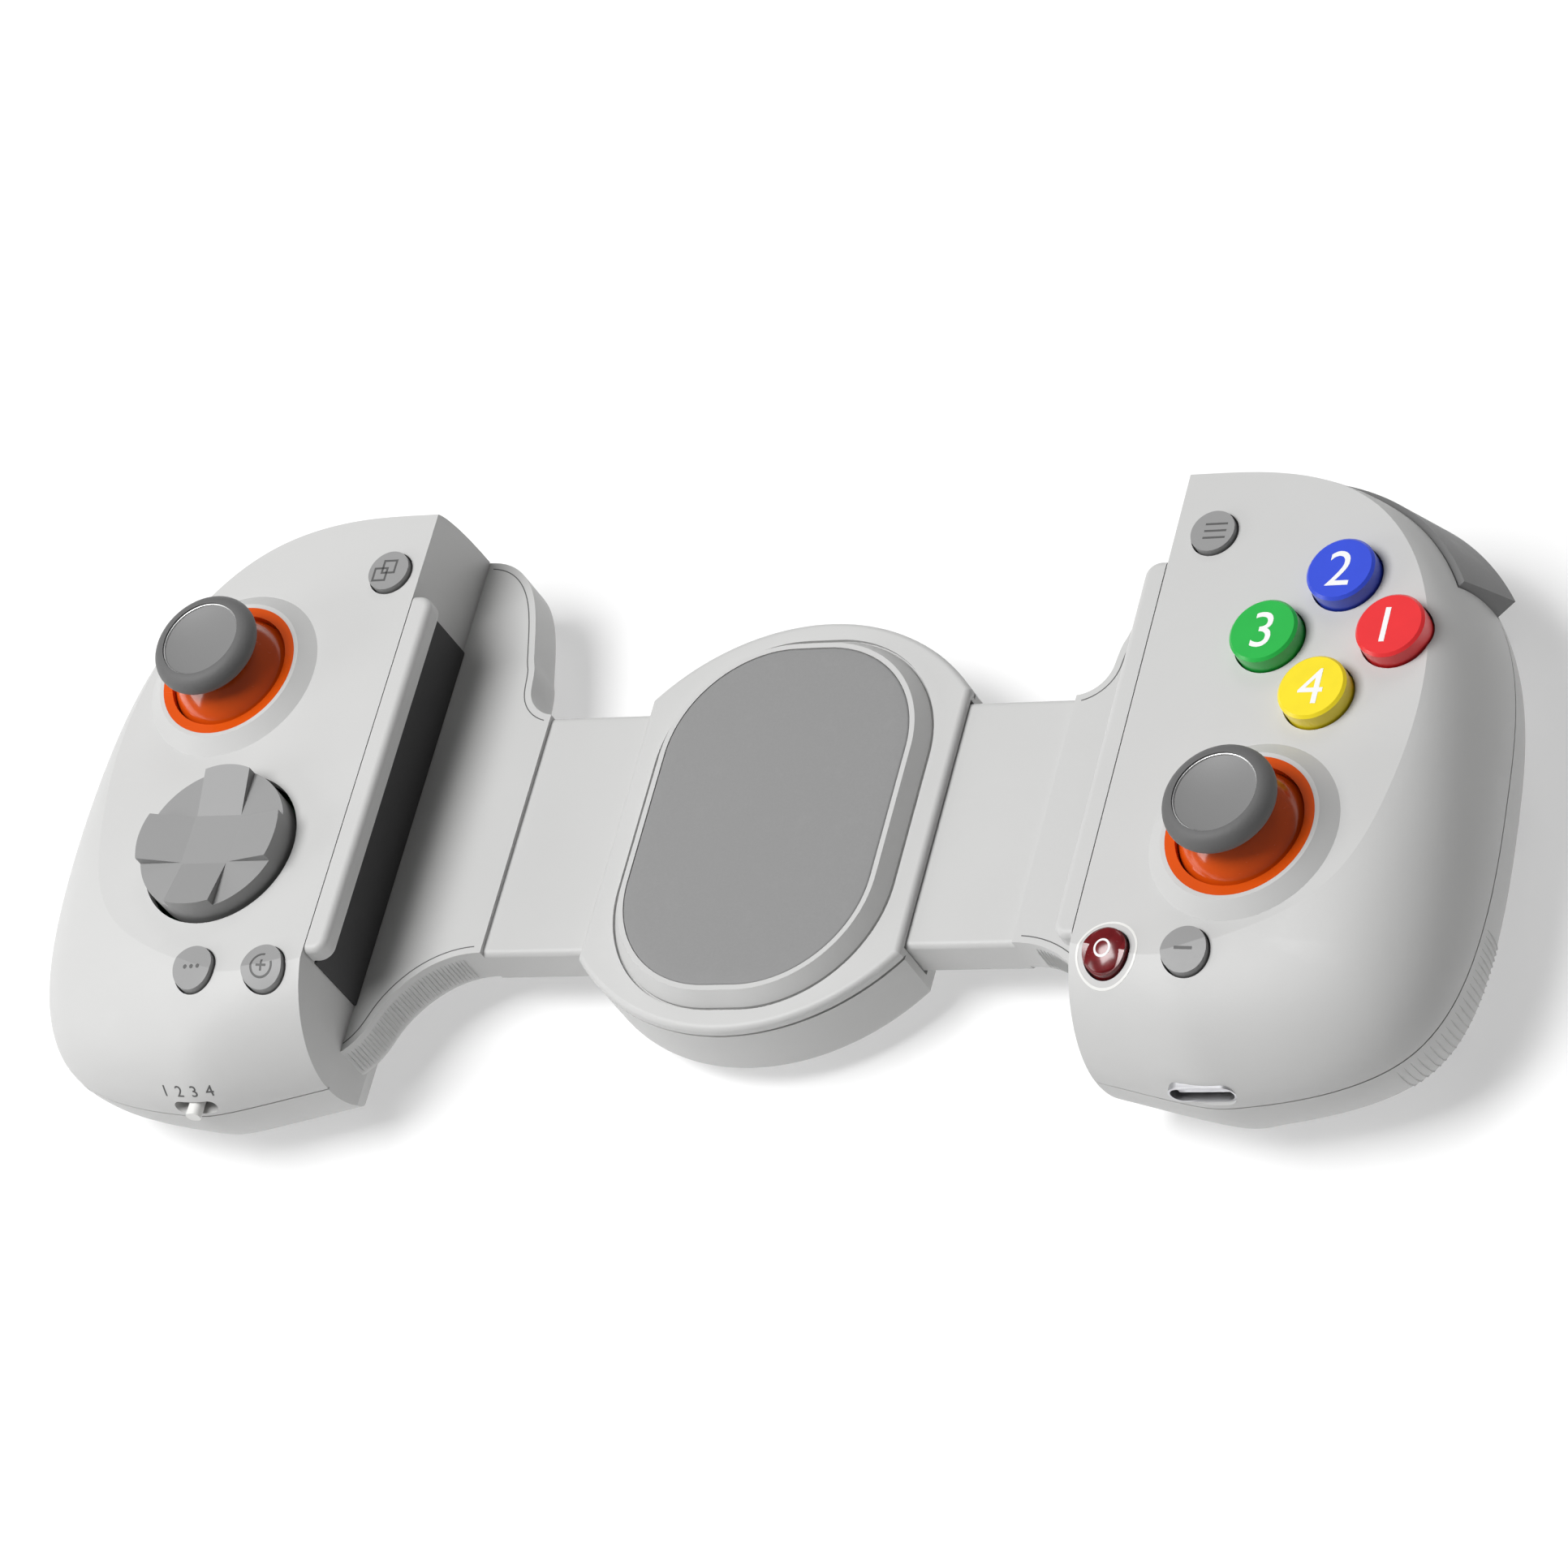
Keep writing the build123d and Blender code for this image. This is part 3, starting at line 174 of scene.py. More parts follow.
class MarkSettings(PropertyGroup):
    numeral: millimetres("Numeral height", "Height of the numerals on the face keys", 5.0)
    small_numeral: millimetres("Switch numerals", "Height of the numerals by the mode switch", 1.7)
    icon: millimetres("Icon width", "Width of the icons on the small keys", 3.0)
    line: millimetres("Line", "Width of an icon's lines", 0.28)
    lift: millimetres("Lift", "How far a mark stands above its key", 0.03)
    fine: millimetres("Fineness", "Longest edge of an icon's mesh", 0.35)
    # The parting line is a dark strip of painted shadow that stands for the shade in its groove
    parting: millimetres("Parting line", "Width of the line beside a wing's edge", 0.14)
    parting_inset: millimetres("Parting inset", "How far that line is from the edge", 0.9)
    rim: millimetres("Rim", "Width of the thin rings round a stick's face and the home key", 0.3)
    home_ring: millimetres("Home ring", "Diameter of the ring round the home key", 8.1)
    dome: millimetres("Dome", "How high the home key's clear dome rises", 0.7)


class PadSettings(PropertyGroup):
    crown: millimetres("Crown", "How much the middle of a pad stands above its rim", 0.12)
    edge: millimetres("Edge", "Radius of a pad's edges", 0.35)


class RibSettings(PropertyGroup):
    pitch: millimetres("Pitch", "Distance from rib to rib", 0.55)
    width: millimetres("Width", "Width of a rib at its root", 0.3)
    height: millimetres("Height", "How far a rib stands out", 0.2)
    top: millimetres("Top", "Level of the ribs' upper ends", -3.9)
    foot_bottom: millimetres("Foot bottom", "Level of the lower ends of the wing's ribs", -8.4)
    outer_bottom: millimetres("Outer bottom", "Level of the lower ends of the outer ribs", -12.0)
    foot_start: millimetres("Foot start", "How far from the middle the wing's ribs start", 41.0)
    reach: millimetres("Reach", "How far outside the wing a rib starts to look for it", 6.0)
    start_angle: FloatProperty(name="Start", description="Where the outer ribs start",
                               default=radians(36), subtype="ANGLE")
    end_angle: FloatProperty(name="End", description="Where the outer ribs end",
                             default=radians(68), subtype="ANGLE")
    levels: IntProperty(name="Levels", description="Places along a rib", default=6, min=2)
    steepest: share("Steepest", "How much the side may lean where a rib lies", 0.75)


class StageSettings(PropertyGroup):
    floor_size: FloatProperty(name="Floor", description="Side of the floor", default=12,
                              subtype="DISTANCE", unit="LENGTH")
    key_power: FloatProperty(name="Key light", description="Power of the large light overhead",
                             default=19)
    fill_power: FloatProperty(name="Fill light", description="Power of the light at the left",
                              default=3)
    back_power: FloatProperty(name="Back light", description="Power of the light behind",
                              default=1.5)
    floor_glow: share("Floor glow", "How much the pale floor shines by itself", 0.4)
    world: FloatProperty(name="Sky", description="Strength of the light from all round",
                         default=0.14)


# Shader graphs
class Signal:
    """A shader socket that takes part in Python sums, each of which adds its Math node."""

    def __init__(self, shader, socket):
        self.shader = shader
        self.socket = socket

    def maths(self, operation, first, second):
        return self.shader.node("ShaderNodeMath", {"operation": operation}, {0: first, 1: second})

    def __add__(self, other):
        return self.maths("ADD", self, other)

    __radd__ = __add__

    def __mul__(self, other):
        return self.maths("MULTIPLY", self, other)

    __rmul__ = __mul__

    def __sub__(self, other):
        return self.maths("SUBTRACT", self, other)

    def __rsub__(self, other):
        return self.maths("SUBTRACT", other, self)


class Shader:
    """One material, its Principled surface and the nodes that vary it."""

    def __init__(self, name):
        self.material = bpy.data.materials.new(name)
        self.material.use_nodes = True
        self.tree = self.material.node_tree
        self.surface = self.tree.nodes["Principled BSDF"]

    def node(self, kind, settings=None, inputs=None, output=0):
        """Any node: its settings come first, then the values or links of its sockets."""
        made = self.tree.nodes.new(kind)
        for key, value in (settings or {}).items():
            setattr(made, key, value)
        for key, value in (inputs or {}).items():
            self.join(made.inputs[key], value)
        return Signal(self, made.outputs[output])

    def join(self, socket, value):
        if isinstance(value, Signal):
            self.tree.links.new(value.socket, socket)
        else:
            socket.default_value = value

    def set(self, **values):
        """Values or links of the surface's sockets, with _ for each space in their names."""
        for name, value in values.items():
            self.join(self.surface.inputs[name.replace("_", " ")], value)
        return self

    def place(self):
        """The object's own coordinates, in metres."""
        return self.node("ShaderNodeTexCoord", output="Object")

    def noise(self, size, detail=2.0, roughness=0.5, stretch=(1, 1, 1), warp=0.0):
        """Noise whose blobs are about as large as a size in metres."""
        scale = [1 / (size * each) for each in stretch]
        spot = self.node("ShaderNodeMapping", inputs={"Vector": self.place(), "Scale": scale})
        inputs = {"Vector": spot, "Scale": 1.0, "Detail": detail, "Roughness": roughness,
                  "Distortion": warp}
        return self.node("ShaderNodeTexNoise", inputs=inputs, output="Fac")

    def cells(self, size, feature="F1"):
        """How far each point is from the nearest of many scattered points."""
        inputs = {"Vector": self.place(), "Scale": 1 / size}
        return self.node("ShaderNodeTexVoronoi", {"feature": feature}, inputs, "Distance")

    def band(self, value, low, high):
        """0 below the low value, 1 above the high one and smooth between them."""
        return self.node("ShaderNodeMapRange", {"interpolation_type": "SMOOTHSTEP", "clamp": True},
                         {"Value": value, "From Min": low, "From Max": high})

    def mix(self, first, second, factor):
        """One colour turning into another."""
        inputs = {"Factor": factor, MIX_FIRST: first, MIX_SECOND: second}
        return self.node("ShaderNodeMix", {"data_type": "RGBA"}, inputs, MIX_RESULT)

    def bump(self, height, depth):
        """A normal raised by a height from 0 to 1 that stands for a depth in metres."""
        inputs = {"Height": height, "Distance": depth, "Strength": 1.0}
        return self.node("ShaderNodeBump", inputs=inputs, output="Normal")


def shade(colour, factor=1):
    """A colour made darker or lighter, with its alpha."""
    return tuple(min(part * factor, 1) for part in colour) + (1,)


def finish_settings():
    return bpy.context.scene.controller_finish


def moulded(name, colour, roughness=0.5, grain=0.00028, depth=0.000012, tone=0.03):
    """Moulded plastic: fine spark grain, a faint cloudiness and a few rubbed places.

    The grain is as deep as it says when the Grain setting is one half.
    """
    shader = Shader(name)
    fine = shader.noise(grain, detail=3, roughness=0.6)
    pits = shader.cells(grain * 1.6)
    cloud = shader.noise(0.02, detail=3, roughness=0.55)
    wear = shader.noise(0.006, detail=4, roughness=0.6, stretch=(3, 1, 1), warp=0.6)
    rubbed = shader.band(wear, low=0.56, high=0.72)
    body = shader.mix(shade(colour, 1 - tone), shade(colour, 1 + tone), cloud)
    body = shader.mix(body, shade(colour, 1.04), rubbed * 0.25)
    height = fine * 0.6 + pits * 0.4
    shader.set(Base_Color=body, Roughness=roughness + (fine - 0.5) * 0.14 - rubbed * 0.06,
               Normal=shader.bump(height, depth * 2 * finish_settings().grain))
    return shader.set(Specular_IOR_Level=0.42)


def soft_rubber(name, colour, roughness=0.72, grain=0.00035):
    """Matt rubber: a velvety grain, with dust in its pits and a dull sheen."""
    shader = Shader(name)
    fine = shader.noise(grain, detail=4, roughness=0.65)
    pits = shader.cells(grain * 2)
    dust = shader.band(shader.noise(0.004, detail=5, roughness=0.7), low=0.5, high=0.8)
    body = shader.mix(shade(colour, 0.94), shade(colour, 1.08), fine)
    body = shader.mix(body, shade(colour, 1.25), dust * 0.18)
    shader.set(Base_Color=body, Roughness=roughness + (fine - 0.5) * 0.2,
               Normal=shader.bump(fine * 0.5 + pits * 0.5, depth=0.00002))
    return shader.set(Sheen_Weight=0.08, Sheen_Roughness=0.5, Specular_IOR_Level=0.32)


def glossy(name, colour, roughness=0.14, coat=0.5):
    """Polished plastic with a faint orange peel and hair-thin scuffs."""
    shader = Shader(name)
    peel = shader.noise(0.0012, detail=2, roughness=0.5)
    hairs = shader.noise(0.0006, detail=3, roughness=0.5, stretch=(14, 1, 1), warp=1.2)
    scuff = shader.band(hairs, low=0.64, high=0.7)
    body = shader.mix(shade(colour, 0.95), shade(colour, 1.05), shader.noise(0.006, detail=2))
    shader.set(Base_Color=body, Roughness=roughness + scuff * 0.12,
               Normal=shader.bump(peel, depth=0.000008))
    return shader.set(Coat_Weight=coat, Coat_Roughness=0.08)


def satin_key(name, colour):
    """The coloured keys: satin plastic with a very fine grain."""
    shader = Shader(name)
    fine = shader.noise(0.0002, detail=2, roughness=0.5)
    body = shader.mix(shade(colour, 0.93), shade(colour, 1.06), shader.noise(0.003, detail=3))
    shader.set(Base_Color=body, Roughness=0.34 + (fine - 0.5) * 0.12,
               Normal=shader.bump(fine, depth=0.000006))
    return shader.set(Coat_Weight=0.25, Coat_Roughness=0.25)


def brushed_steel(name, colour=(0.58, 0.58, 0.6)):
    """Steel with the long fine lines that brushing leaves."""
    shader = Shader(name)
    lines = shader.noise(0.0002, detail=3, roughness=0.6, stretch=(40, 1, 1))
    body = shader.mix(shade(colour, 0.85), shade(colour, 1.1), lines)
    return shader.set(Base_Color=body, Metallic=1.0, Roughness=0.3 + lines * 0.2,
                      Normal=shader.bump(lines, depth=0.000006))


def circuit_board(name, between=(0.05, 0.3, 0.12), field=(0.012, 0.12, 0.045)):
    """A circuit board: dark green fields with light tracks between them."""
    shader = Shader(name)
    fields = shader.band(shader.cells(0.0022, "DISTANCE_TO_EDGE"), low=0.06, high=0.1)
    body = shader.mix(shade(between), shade(field), fields)
    return shader.set(Base_Color=body, Roughness=0.3 + fields * 0.1,
                      Normal=shader.bump(fields, depth=0.00003))


def foil_cell(name, painted_crease_shade=(0.5, 0.5, 0.52), flat=(0.66, 0.66, 0.68)):
    """The battery's foil, with shallow creases, painted darker along each crease as shade."""
    shader = Shader(name)
    creases = shader.cells(0.004, "DISTANCE_TO_EDGE")
    # Painted shade: the foil is darker near each crease line, where shade would fall
    body = shader.mix(shade(painted_crease_shade), shade(flat), creases)
    return shader.set(Base_Color=body, Metallic=1.0, Roughness=0.35 + creases * 0.1,
                      Normal=shader.bump(creases, depth=0.00005))


def clear_dome(name, colour):
    """The home key: a clear polished top over a deep red."""
    shader = glossy(name, colour, roughness=0.2, coat=0.3)
    glow = shader.noise(0.0016, detail=3, roughness=0.5)
    body = shader.mix(shade(colour, 0.6), shade(colour, 2.2), glow)
    return shader.set(Base_Color=body, Coat_Roughness=0.12)


def printed(name, colour, roughness=0.55):
    """Paint, or painted shadow, in a mark: nearly without grain."""
    return moulded(name, colour, roughness, grain=0.0002, depth=0.000004)


def made_finishes():
    """Every finish, by name."""
    tone = finish_settings()
    return {
        "shell": moulded("light_shell", tone.shell),
        "wall_pad": soft_rubber("clamp_rubber", tone.wall_pad),
        "rest_pad": soft_rubber("rest_silicone", tone.rest_pad, roughness=0.62, grain=0.0003),
        "key": moulded("key_plastic", tone.key, roughness=0.46, grain=0.0002, depth=0.000008),
        "stick": soft_rubber("stick_rubber", tone.stick, roughness=0.58, grain=0.0003),
        "disc": moulded("stick_face", tone.disc, roughness=0.42, grain=0.0002, depth=0.000008),
        "orange": glossy("orange_gloss", tone.orange, roughness=0.16, coat=0.3),
        "shoulder": moulded("shoulder_plastic", tone.shoulder),
        "red": satin_key("key_red", tone.red),
        "blue": satin_key("key_blue", tone.blue),
        "green": satin_key("key_green", tone.green),
        "yellow": satin_key("key_yellow", tone.yellow),
        "home": clear_dome("home_red", tone.home),
        "steel": brushed_steel("steel"),
        "white_part": moulded("white_moulding", (0.72, 0.72, 0.7), roughness=0.4),
        "board": circuit_board("circuit_board"),
        "cell": foil_cell("battery_foil"),
        "mark": printed("white_print", tone.mark),
        "dark_mark": printed("grey_print", (0.085, 0.085, 0.085)),
        # Painted shadow: this dark colour on the parting-line strips stands for the shade in a
        # groove
        "painted_gap_shadow": printed("shadow_gap", (0.12, 0.12, 0.12), roughness=0.9),
        "polished": brushed_steel("polished_edge", (0.7, 0.7, 0.7)),
    }


finishes = {}

# The finish of each node, by its whole name or by its name without its side
node_finishes = {
    "hub_base": "shell", "hub_cover": "shell", "hub_pad_frame": "shell", "hub_pad": "rest_pad",
    "hub_screws": "steel", "sync_pinion": "white_part", "return_spring": "steel",
    "slide_plate": "steel", "front_shell": "shell", "back_shell": "shell", "arm_sleeve": "shell",
    "clamp_lip": "shell", "clamp_pad": "wall_pad", "fasteners": "steel", "stick_ring": "orange",
    "stick_base": "key", "stick_gimbal": "white_part", "stick_shaft": "steel",
    "stick_skirt": "orange", "stick_cap": "stick", "stick_disc": "disc", "bumper": "shoulder",
    "trigger": "shoulder", "board": "board", "small_button_top": "key", "small_button_low": "key",
    "right_small_button_low": "home", "small_button_outer": "key", "dpad": "key",
    "dpad_rocker": "white_part", "dpad_seat": "key", "mode_knob": "white_part",
    "battery": "cell", "charging_socket": "steel", "face_button_1": "red",
    "face_button_2": "blue", "face_button_3": "green", "face_button_4": "yellow",
}


# Shared helpers
def dressed(obj, finish):
    """Gives an object its finish in place of any other."""
    obj.data.materials.clear()
    obj.data.materials.append(finishes[finish].material)
    return obj


def new_object(name, mesh, finish):
    obj = bpy.data.objects.new(name, mesh)
    bpy.context.scene.collection.objects.link(obj)
    return dressed(obj, finish)


def closed_mesh(name, made):
    """The finished mesh of closed forms, with their faces turned outwards."""
    bmesh.ops.recalc_face_normals(made, faces=made.faces)
    mesh = bpy.data.meshes.new(name)
    made.to_mesh(mesh)
    made.free()
    return mesh


def smooth_object(name, made, finish):
    """A new object of a closed form whose faces are shaded smooth."""
    mesh = closed_mesh(name, made)
    for face in mesh.polygons:
        face.use_smooth = True
    return new_object(name, mesh, finish)


def skin(made, loops):
    """Closes a form over loops of as many points each, from its first loop to its last."""
    for first, second in zip(loops, loops[1:]):
        for index in range(len(first)):
            after = (index + 1) % len(first)
            made.faces.new([first[index], first[after], second[after], second[index]])
    made.faces.new(loops[0][::-1])
    made.faces.new(loops[-1])


def middle(node):
    """The middle of a node's box."""
    low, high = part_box(node)
    return (low + high) / 2


def nearest_and_farthest(node):
    """How near to the hub's middle a node comes along the arms, and how far it reaches."""
    low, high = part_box(node)
    return sorted((abs(low.x), abs(high.x)))


def key_top(node):
    """The middle and the radius of a key's upper half, above its flange."""
    half_height = middle(node).z
    top = [vertex.co for vertex in frame["nodes"][node].data.vertices if vertex.co.z > half_height]
    ends = [[choose(spot[axis] for spot in top) for choose in (min, max)] for axis in range(3)]
    return Vector([sum(pair) / 2 for pair in ends]), (ends[0][1] - ends[0][0]) / 2


def tree_of(mesh):
    """A mesh, ready for finding where a line meets it."""
    corners = [vertex.co.copy() for vertex in mesh.vertices]
    faces = [tuple(face.vertices) for face in mesh.polygons]
    return BVHTree.FromPolygons(corners, faces)


def surface_of(node):
    """A node's surface, ready for finding where a line meets it."""
    return tree_of(frame["nodes"][node].data)


# Soft pads
def pad_corner(node, spans):
    """The corner radius of a pad, from where its straight sides end."""
    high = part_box(node)[1]
    far = high[spans[0]]
    reach = [abs(vertex.co[spans[1]]) for vertex in frame["nodes"][node].data.vertices
             if far - vertex.co[spans[0]] < SAME_PLACE]
    return high[spans[1]] - max(reach)


def pad_profile(thickness, crown, edge, half_width):
    """How far inside a pad's outline, and how deep under its top, each of its loops lies."""
    profile = [(0.0, thickness)]
    for level in range(EDGE_STEPS + 1):
        turn = pi / 2 * level / EDGE_STEPS
        profile.append((edge * (1 - cos(turn)), edge * (1 - sin(turn)) + crown))
    for level in range(1, CROWN_STEPS):
        part = level / CROWN_STEPS
        profile.append((edge + (half_width - edge) * part, crown * (1 - part) ** 2))
    return profile


def rounded_outline(half, radius):
    """Points round a rectangle with round corners, about its middle."""
    straight = [max(each, radius) - radius for each in half]
    for index in range(4 * CORNER_STEPS):
        turn = 2 * pi * (index + 0.5) / (4 * CORNER_STEPS)
        quarter = int(turn // (pi / 2))
        yield ((1, -1, -1, 1)[quarter] * straight[0] + radius * cos(turn),
               (1, 1, -1, -1)[quarter] * straight[1] + radius * sin(turn))


def pad_mesh(node, face_axis, crown, edge, direction):
    """A closed pad with soft edges whose face is slightly crowned, inside the node's own box."""
    low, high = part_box(node)
    spans = [axis for axis in range(3) if axis != face_axis]
    centre = [(low[axis] + high[axis]) / 2 for axis in spans]
    half = [(high[axis] - low[axis]) / 2 for axis in spans]
    corner = max(pad_corner(node, spans) if face_axis == 2 else edge, edge)
    top = high[face_axis] if direction > 0 else low[face_axis]
    thickness = high[face_axis] - low[face_axis]
    made = bmesh.new()
    loops = []
    for inset, depth in pad_profile(thickness, crown, edge, min(half)):
        radius = max(corner - inset, edge * LEAST_CORNER)
        loop = []
        for across, along in rounded_outline([each - inset for each in half], radius):
            place = [0.0, 0.0, 0.0]
            place[spans[0]] = centre[0] + across
            place[spans[1]] = centre[1] + along
            place[face_axis] = top - direction * depth
            loop.append(made.verts.new(place))
        loops.append(loop)
    skin(made, loops)
    return made


# Flat marks
def strip(start, end, width):
    """A bar between two points, as one outline."""
    run = (Vector(end) - Vector(start)).normalized()
    side = Vector((-run.y, run.x)) * width / 2
    return [Vector(start) - side, Vector(end) - side, Vector(end) + side, Vector(start) + side]


def ring_outlines(radius, width, start=0.0, end=2 * pi, steps=40):
    """The bars of a ring, or of a part of one."""
    inner, outer = radius - width / 2, radius + width / 2
    bars = []
    for index in range(steps):
        first = start + (end - start) * index / steps
        last = start + (end - start) * (index + 1) / steps
        corners = (inner, first), (outer, first), (outer, last), (inner, last)
        bars.append([Vector((reach * cos(turn), reach * sin(turn))) for reach, turn in corners])
    return bars


def cut_fine(made, longest, rounds):
    """Halves a flat mesh's long edges, for so many rounds at most."""
    for _ in range(rounds):
        long_edges = [edge for edge in made.edges if edge.calc_length() > longest]
        if not long_edges:
            break
        bmesh.ops.subdivide_edges(made, edges=long_edges, cuts=1)
        bmesh.ops.triangulate(made, faces=made.faces)


def flat_mark(outlines, fine):
    """A flat mesh of some outlines, cut fine enough to follow a curved key."""
    made = bmesh.new()
    for outline in outlines:
        made.faces.new([made.verts.new((point[0], point[1], 0)) for point in outline])
    bmesh.ops.remove_doubles(made, verts=made.verts, dist=fine / 1000)
    bmesh.ops.triangulate(made, faces=made.faces)
    cut_fine(made, fine, ICON_CUTS)
    return made


def numeral_mesh(text, height, fine):
    """A plain numeral as a flat mesh about its own middle."""
    curve = bpy.data.curves.new("numeral", "FONT")
    curve.body = text
    curve.size = height / DIGIT_SHARE
    curve.align_x = "CENTER"
    curve.align_y = "CENTER"
    curve.resolution_u = 6
    letter = bpy.data.objects.new("numeral", curve)
    bpy.context.scene.collection.objects.link(letter)
    bpy.context.view_layer.update()
    flat = bpy.data.meshes.new_from_object(letter)
    made = bmesh.new()
    made.from_mesh(flat)
    bpy.data.objects.remove(letter)
    bpy.data.meshes.remove(flat)
    bmesh.ops.triangulate(made, faces=made.faces)
    across = [vertex.co.x for vertex in made.verts]
    upright = [vertex.co.y for vertex in made.verts]
    centre = (min(across) + max(across)) / 2, (min(upright) + max(upright)) / 2, 0
    for vertex in made.verts:
        vertex.co -= Vector(centre)
    cut_fine(made, fine, NUMERAL_CUTS)
    return made


def laid_mark(name, made, node, centre, finish, along=Vector((0, 0, -1)), tree=None):
    """Lays a flat mark on a node's surface, or on what covers it, and gives it its thickness."""
    lift = bpy.context.scene.controller_marks.lift
    right = Vector((1, 0, 0))
    up = right.cross(along).normalized()
    tree = tree or surface_of(node)
    for vertex in made.verts:
        start = centre + right * vertex.co.x + up * vertex.co.y - along * LOOK_FROM
        spot, normal, _, _ = tree.ray_cast(start, along)
        if spot is None:
            raise RuntimeError(name + " misses " + node)
        vertex.co = spot + normal * lift
    sunk = bmesh.ops.extrude_face_region(made, geom=made.faces[:])["geom"]
    for item in sunk:
        if isinstance(item, bmesh.types.BMVert):
            item.co += along * lift * 2
    obj = new_object(name, closed_mesh(name, made), finish)
    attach(obj, frame["nodes"][node]["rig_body"])
    return obj


# Icons, each as outlines about its middle
def three_lines(width, line):
    return [strip((-width / 2, level * width / 3), (width / 2, level * width / 3), line)
            for level in (-1, 0, 1)]


def two_squares(width, line):
    side = width * 0.62
    bars = []
    for start in (-width / 2, width / 2 - side):
        end = start + side
        for level in (start, end):
            bars.append(strip((start - line / 2, level), (end + line / 2, level), line))
        for level in (start, end):
            bars.append(strip((level, start + line / 2), (level, end - line / 2), line))
    return bars


def plus_in_ring(width, line):
    """A plus in a ring that is open at one side."""
    arm = width * 0.24
    bars = ring_outlines(width / 2, line, start=radians(80), end=radians(380), steps=30)
    bars.append(strip((-arm, 0), (arm, 0), line))
    bars.append(strip((0, line / 2), (0, arm), line))
    bars.append(strip((0, -arm), (0, -line / 2), line))
    return bars


def three_dots(width, line, steps=16):
    turns = [2 * pi * index / steps for index in range(steps)]
    return [[Vector((place + line * cos(turn), line * sin(turn))) for turn in turns]
            for place in (-width / 3, 0, width / 3)]


def one_bar(width, line):
    return [strip((-width / 2.6, 0), (width / 2.6, 0), line * 1.3)]


def plain_ring(width, line):
    return ring_outlines(width / 3, line)


# Parting lines, each a dark strip of painted shadow, and ribs
def wing_edges(side):
    """The two curved edges of a back shell's wing on its upper face, from the grip inwards."""
    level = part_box(side + "_back_shell")[1].z
    wall = nearest_and_farthest(side + "_front_shell")[0]
    seam = nearest_and_farthest(side + "_arm_sleeve")[1]
    found = {(round(vertex.co.x, 6), round(vertex.co.y, 6))
             for vertex in frame["nodes"][side + "_back_shell"].data.vertices
             if abs(vertex.co.z - level) < SAME_LEVEL
             and seam + SEAM_GAP < abs(vertex.co.x) < wall - SEAM_GAP}
    for sign in (1, -1):
        edge = [Vector(spot) for spot in found if spot[1] * sign > 0]
        yield sorted(edge, key=lambda spot: -abs(spot.y))


def ribbon(points, inset, width):
    """A thin band beside the edge of a wing, on the side where the wing lies."""
    rows = []
    for index, spot in enumerate(points):
        run = points[min(index + 1, len(points) - 1)] - points[max(index - 1, 0)]
        across = Vector((-run.y, run.x)).normalized()
        if across.dot((copysign(1, spot.x), -copysign(1, spot.y))) < 0:
            across.negate()
        rows.append((spot + across * inset, spot + across * (inset + width)))
    return [[first[0], second[0], second[1], first[1]] for first, second in zip(rows, rows[1:])]


def stepped(points, pitch):
    """Places at an even pitch along a line of points, with the line's direction at each."""
    ahead = 0.0
    for first, second in zip(points, points[1:]):
        run = second - first
        while ahead < run.length:
            yield first + run * (ahead / run.length), run.normalized()
            ahead += pitch
        ahead -= run.length


def rib_columns(side, rib):
    """Where each rib starts to look for the shell's side, which way, and how low it goes."""
    foot = list(wing_edges(side))[1]
    for spot, run in stepped(foot, rib.pitch):
        if abs(spot.x) > rib.foot_start:
            out = Vector((-run.y, run.x))
            if out.y > 0:
                out.negate()
            yield spot + out * rib.reach, -out, rib.foot_bottom
    low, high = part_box(side + "_front_shell")
    centre = Vector(((low.x + high.x) / 2, 0))
    half = (high.x - low.x) / 2
    spread = rib.end_angle - rib.start_angle
    count = int(half * spread / rib.pitch)
    for index in range(count):
        turn = rib.start_angle + spread * index / count
        out = Vector((copysign(1, centre.x) * cos(turn), -sin(turn)))
        yield centre + out * 2 * half, -out, rib.outer_bottom


def rib_mesh(side, rib):
    """Raised upright lines of three-sided section that follow the back shell's side."""
    tree = surface_of(side + "_back_shell")
    made = bmesh.new()
    for spot, look, bottom in rib_columns(side, rib):
        rows = []
        for level in range(rib.levels):
            height = rib.top + (bottom - rib.top) * level / (rib.levels - 1)
            place, normal, _, _ = tree.ray_cast(Vector((spot.x, spot.y, height)), look.to_3d())
            if place is None or abs(normal.z) > rib.steepest:
                break
            across = normal.cross(Vector((0, 0, 1))).normalized() * rib.width / 2
            peak = rib.height * (1 if 0 < level < rib.levels - 1 else RIB_END)
            sunk = normal * -rib.height
            rows.append([place + sunk - across, place + normal * peak, place + sunk + across])
        if len(rows) > 1:
            skin(made, [[made.verts.new(corner) for corner in row] for row in rows])
    return closed_mesh(side + "_ribs", made)


# Rings and the home key's dome
def thin_ring(name, centre, radius, thick, finish, body):
    """A level ring of round section that rides on a body of the frame."""
    bpy.ops.mesh.primitive_torus_add(
        major_segments=96, minor_segments=10, major_radius=radius, minor_radius=thick / 2,
        location=(0, 0, 0))
    obj = bpy.context.active_object
    obj.name = name
    obj.data.transform(Matrix.Translation(centre))
    for face in obj.data.polygons:
        face.use_smooth = True
    dressed(obj, finish)
    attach(obj, body)


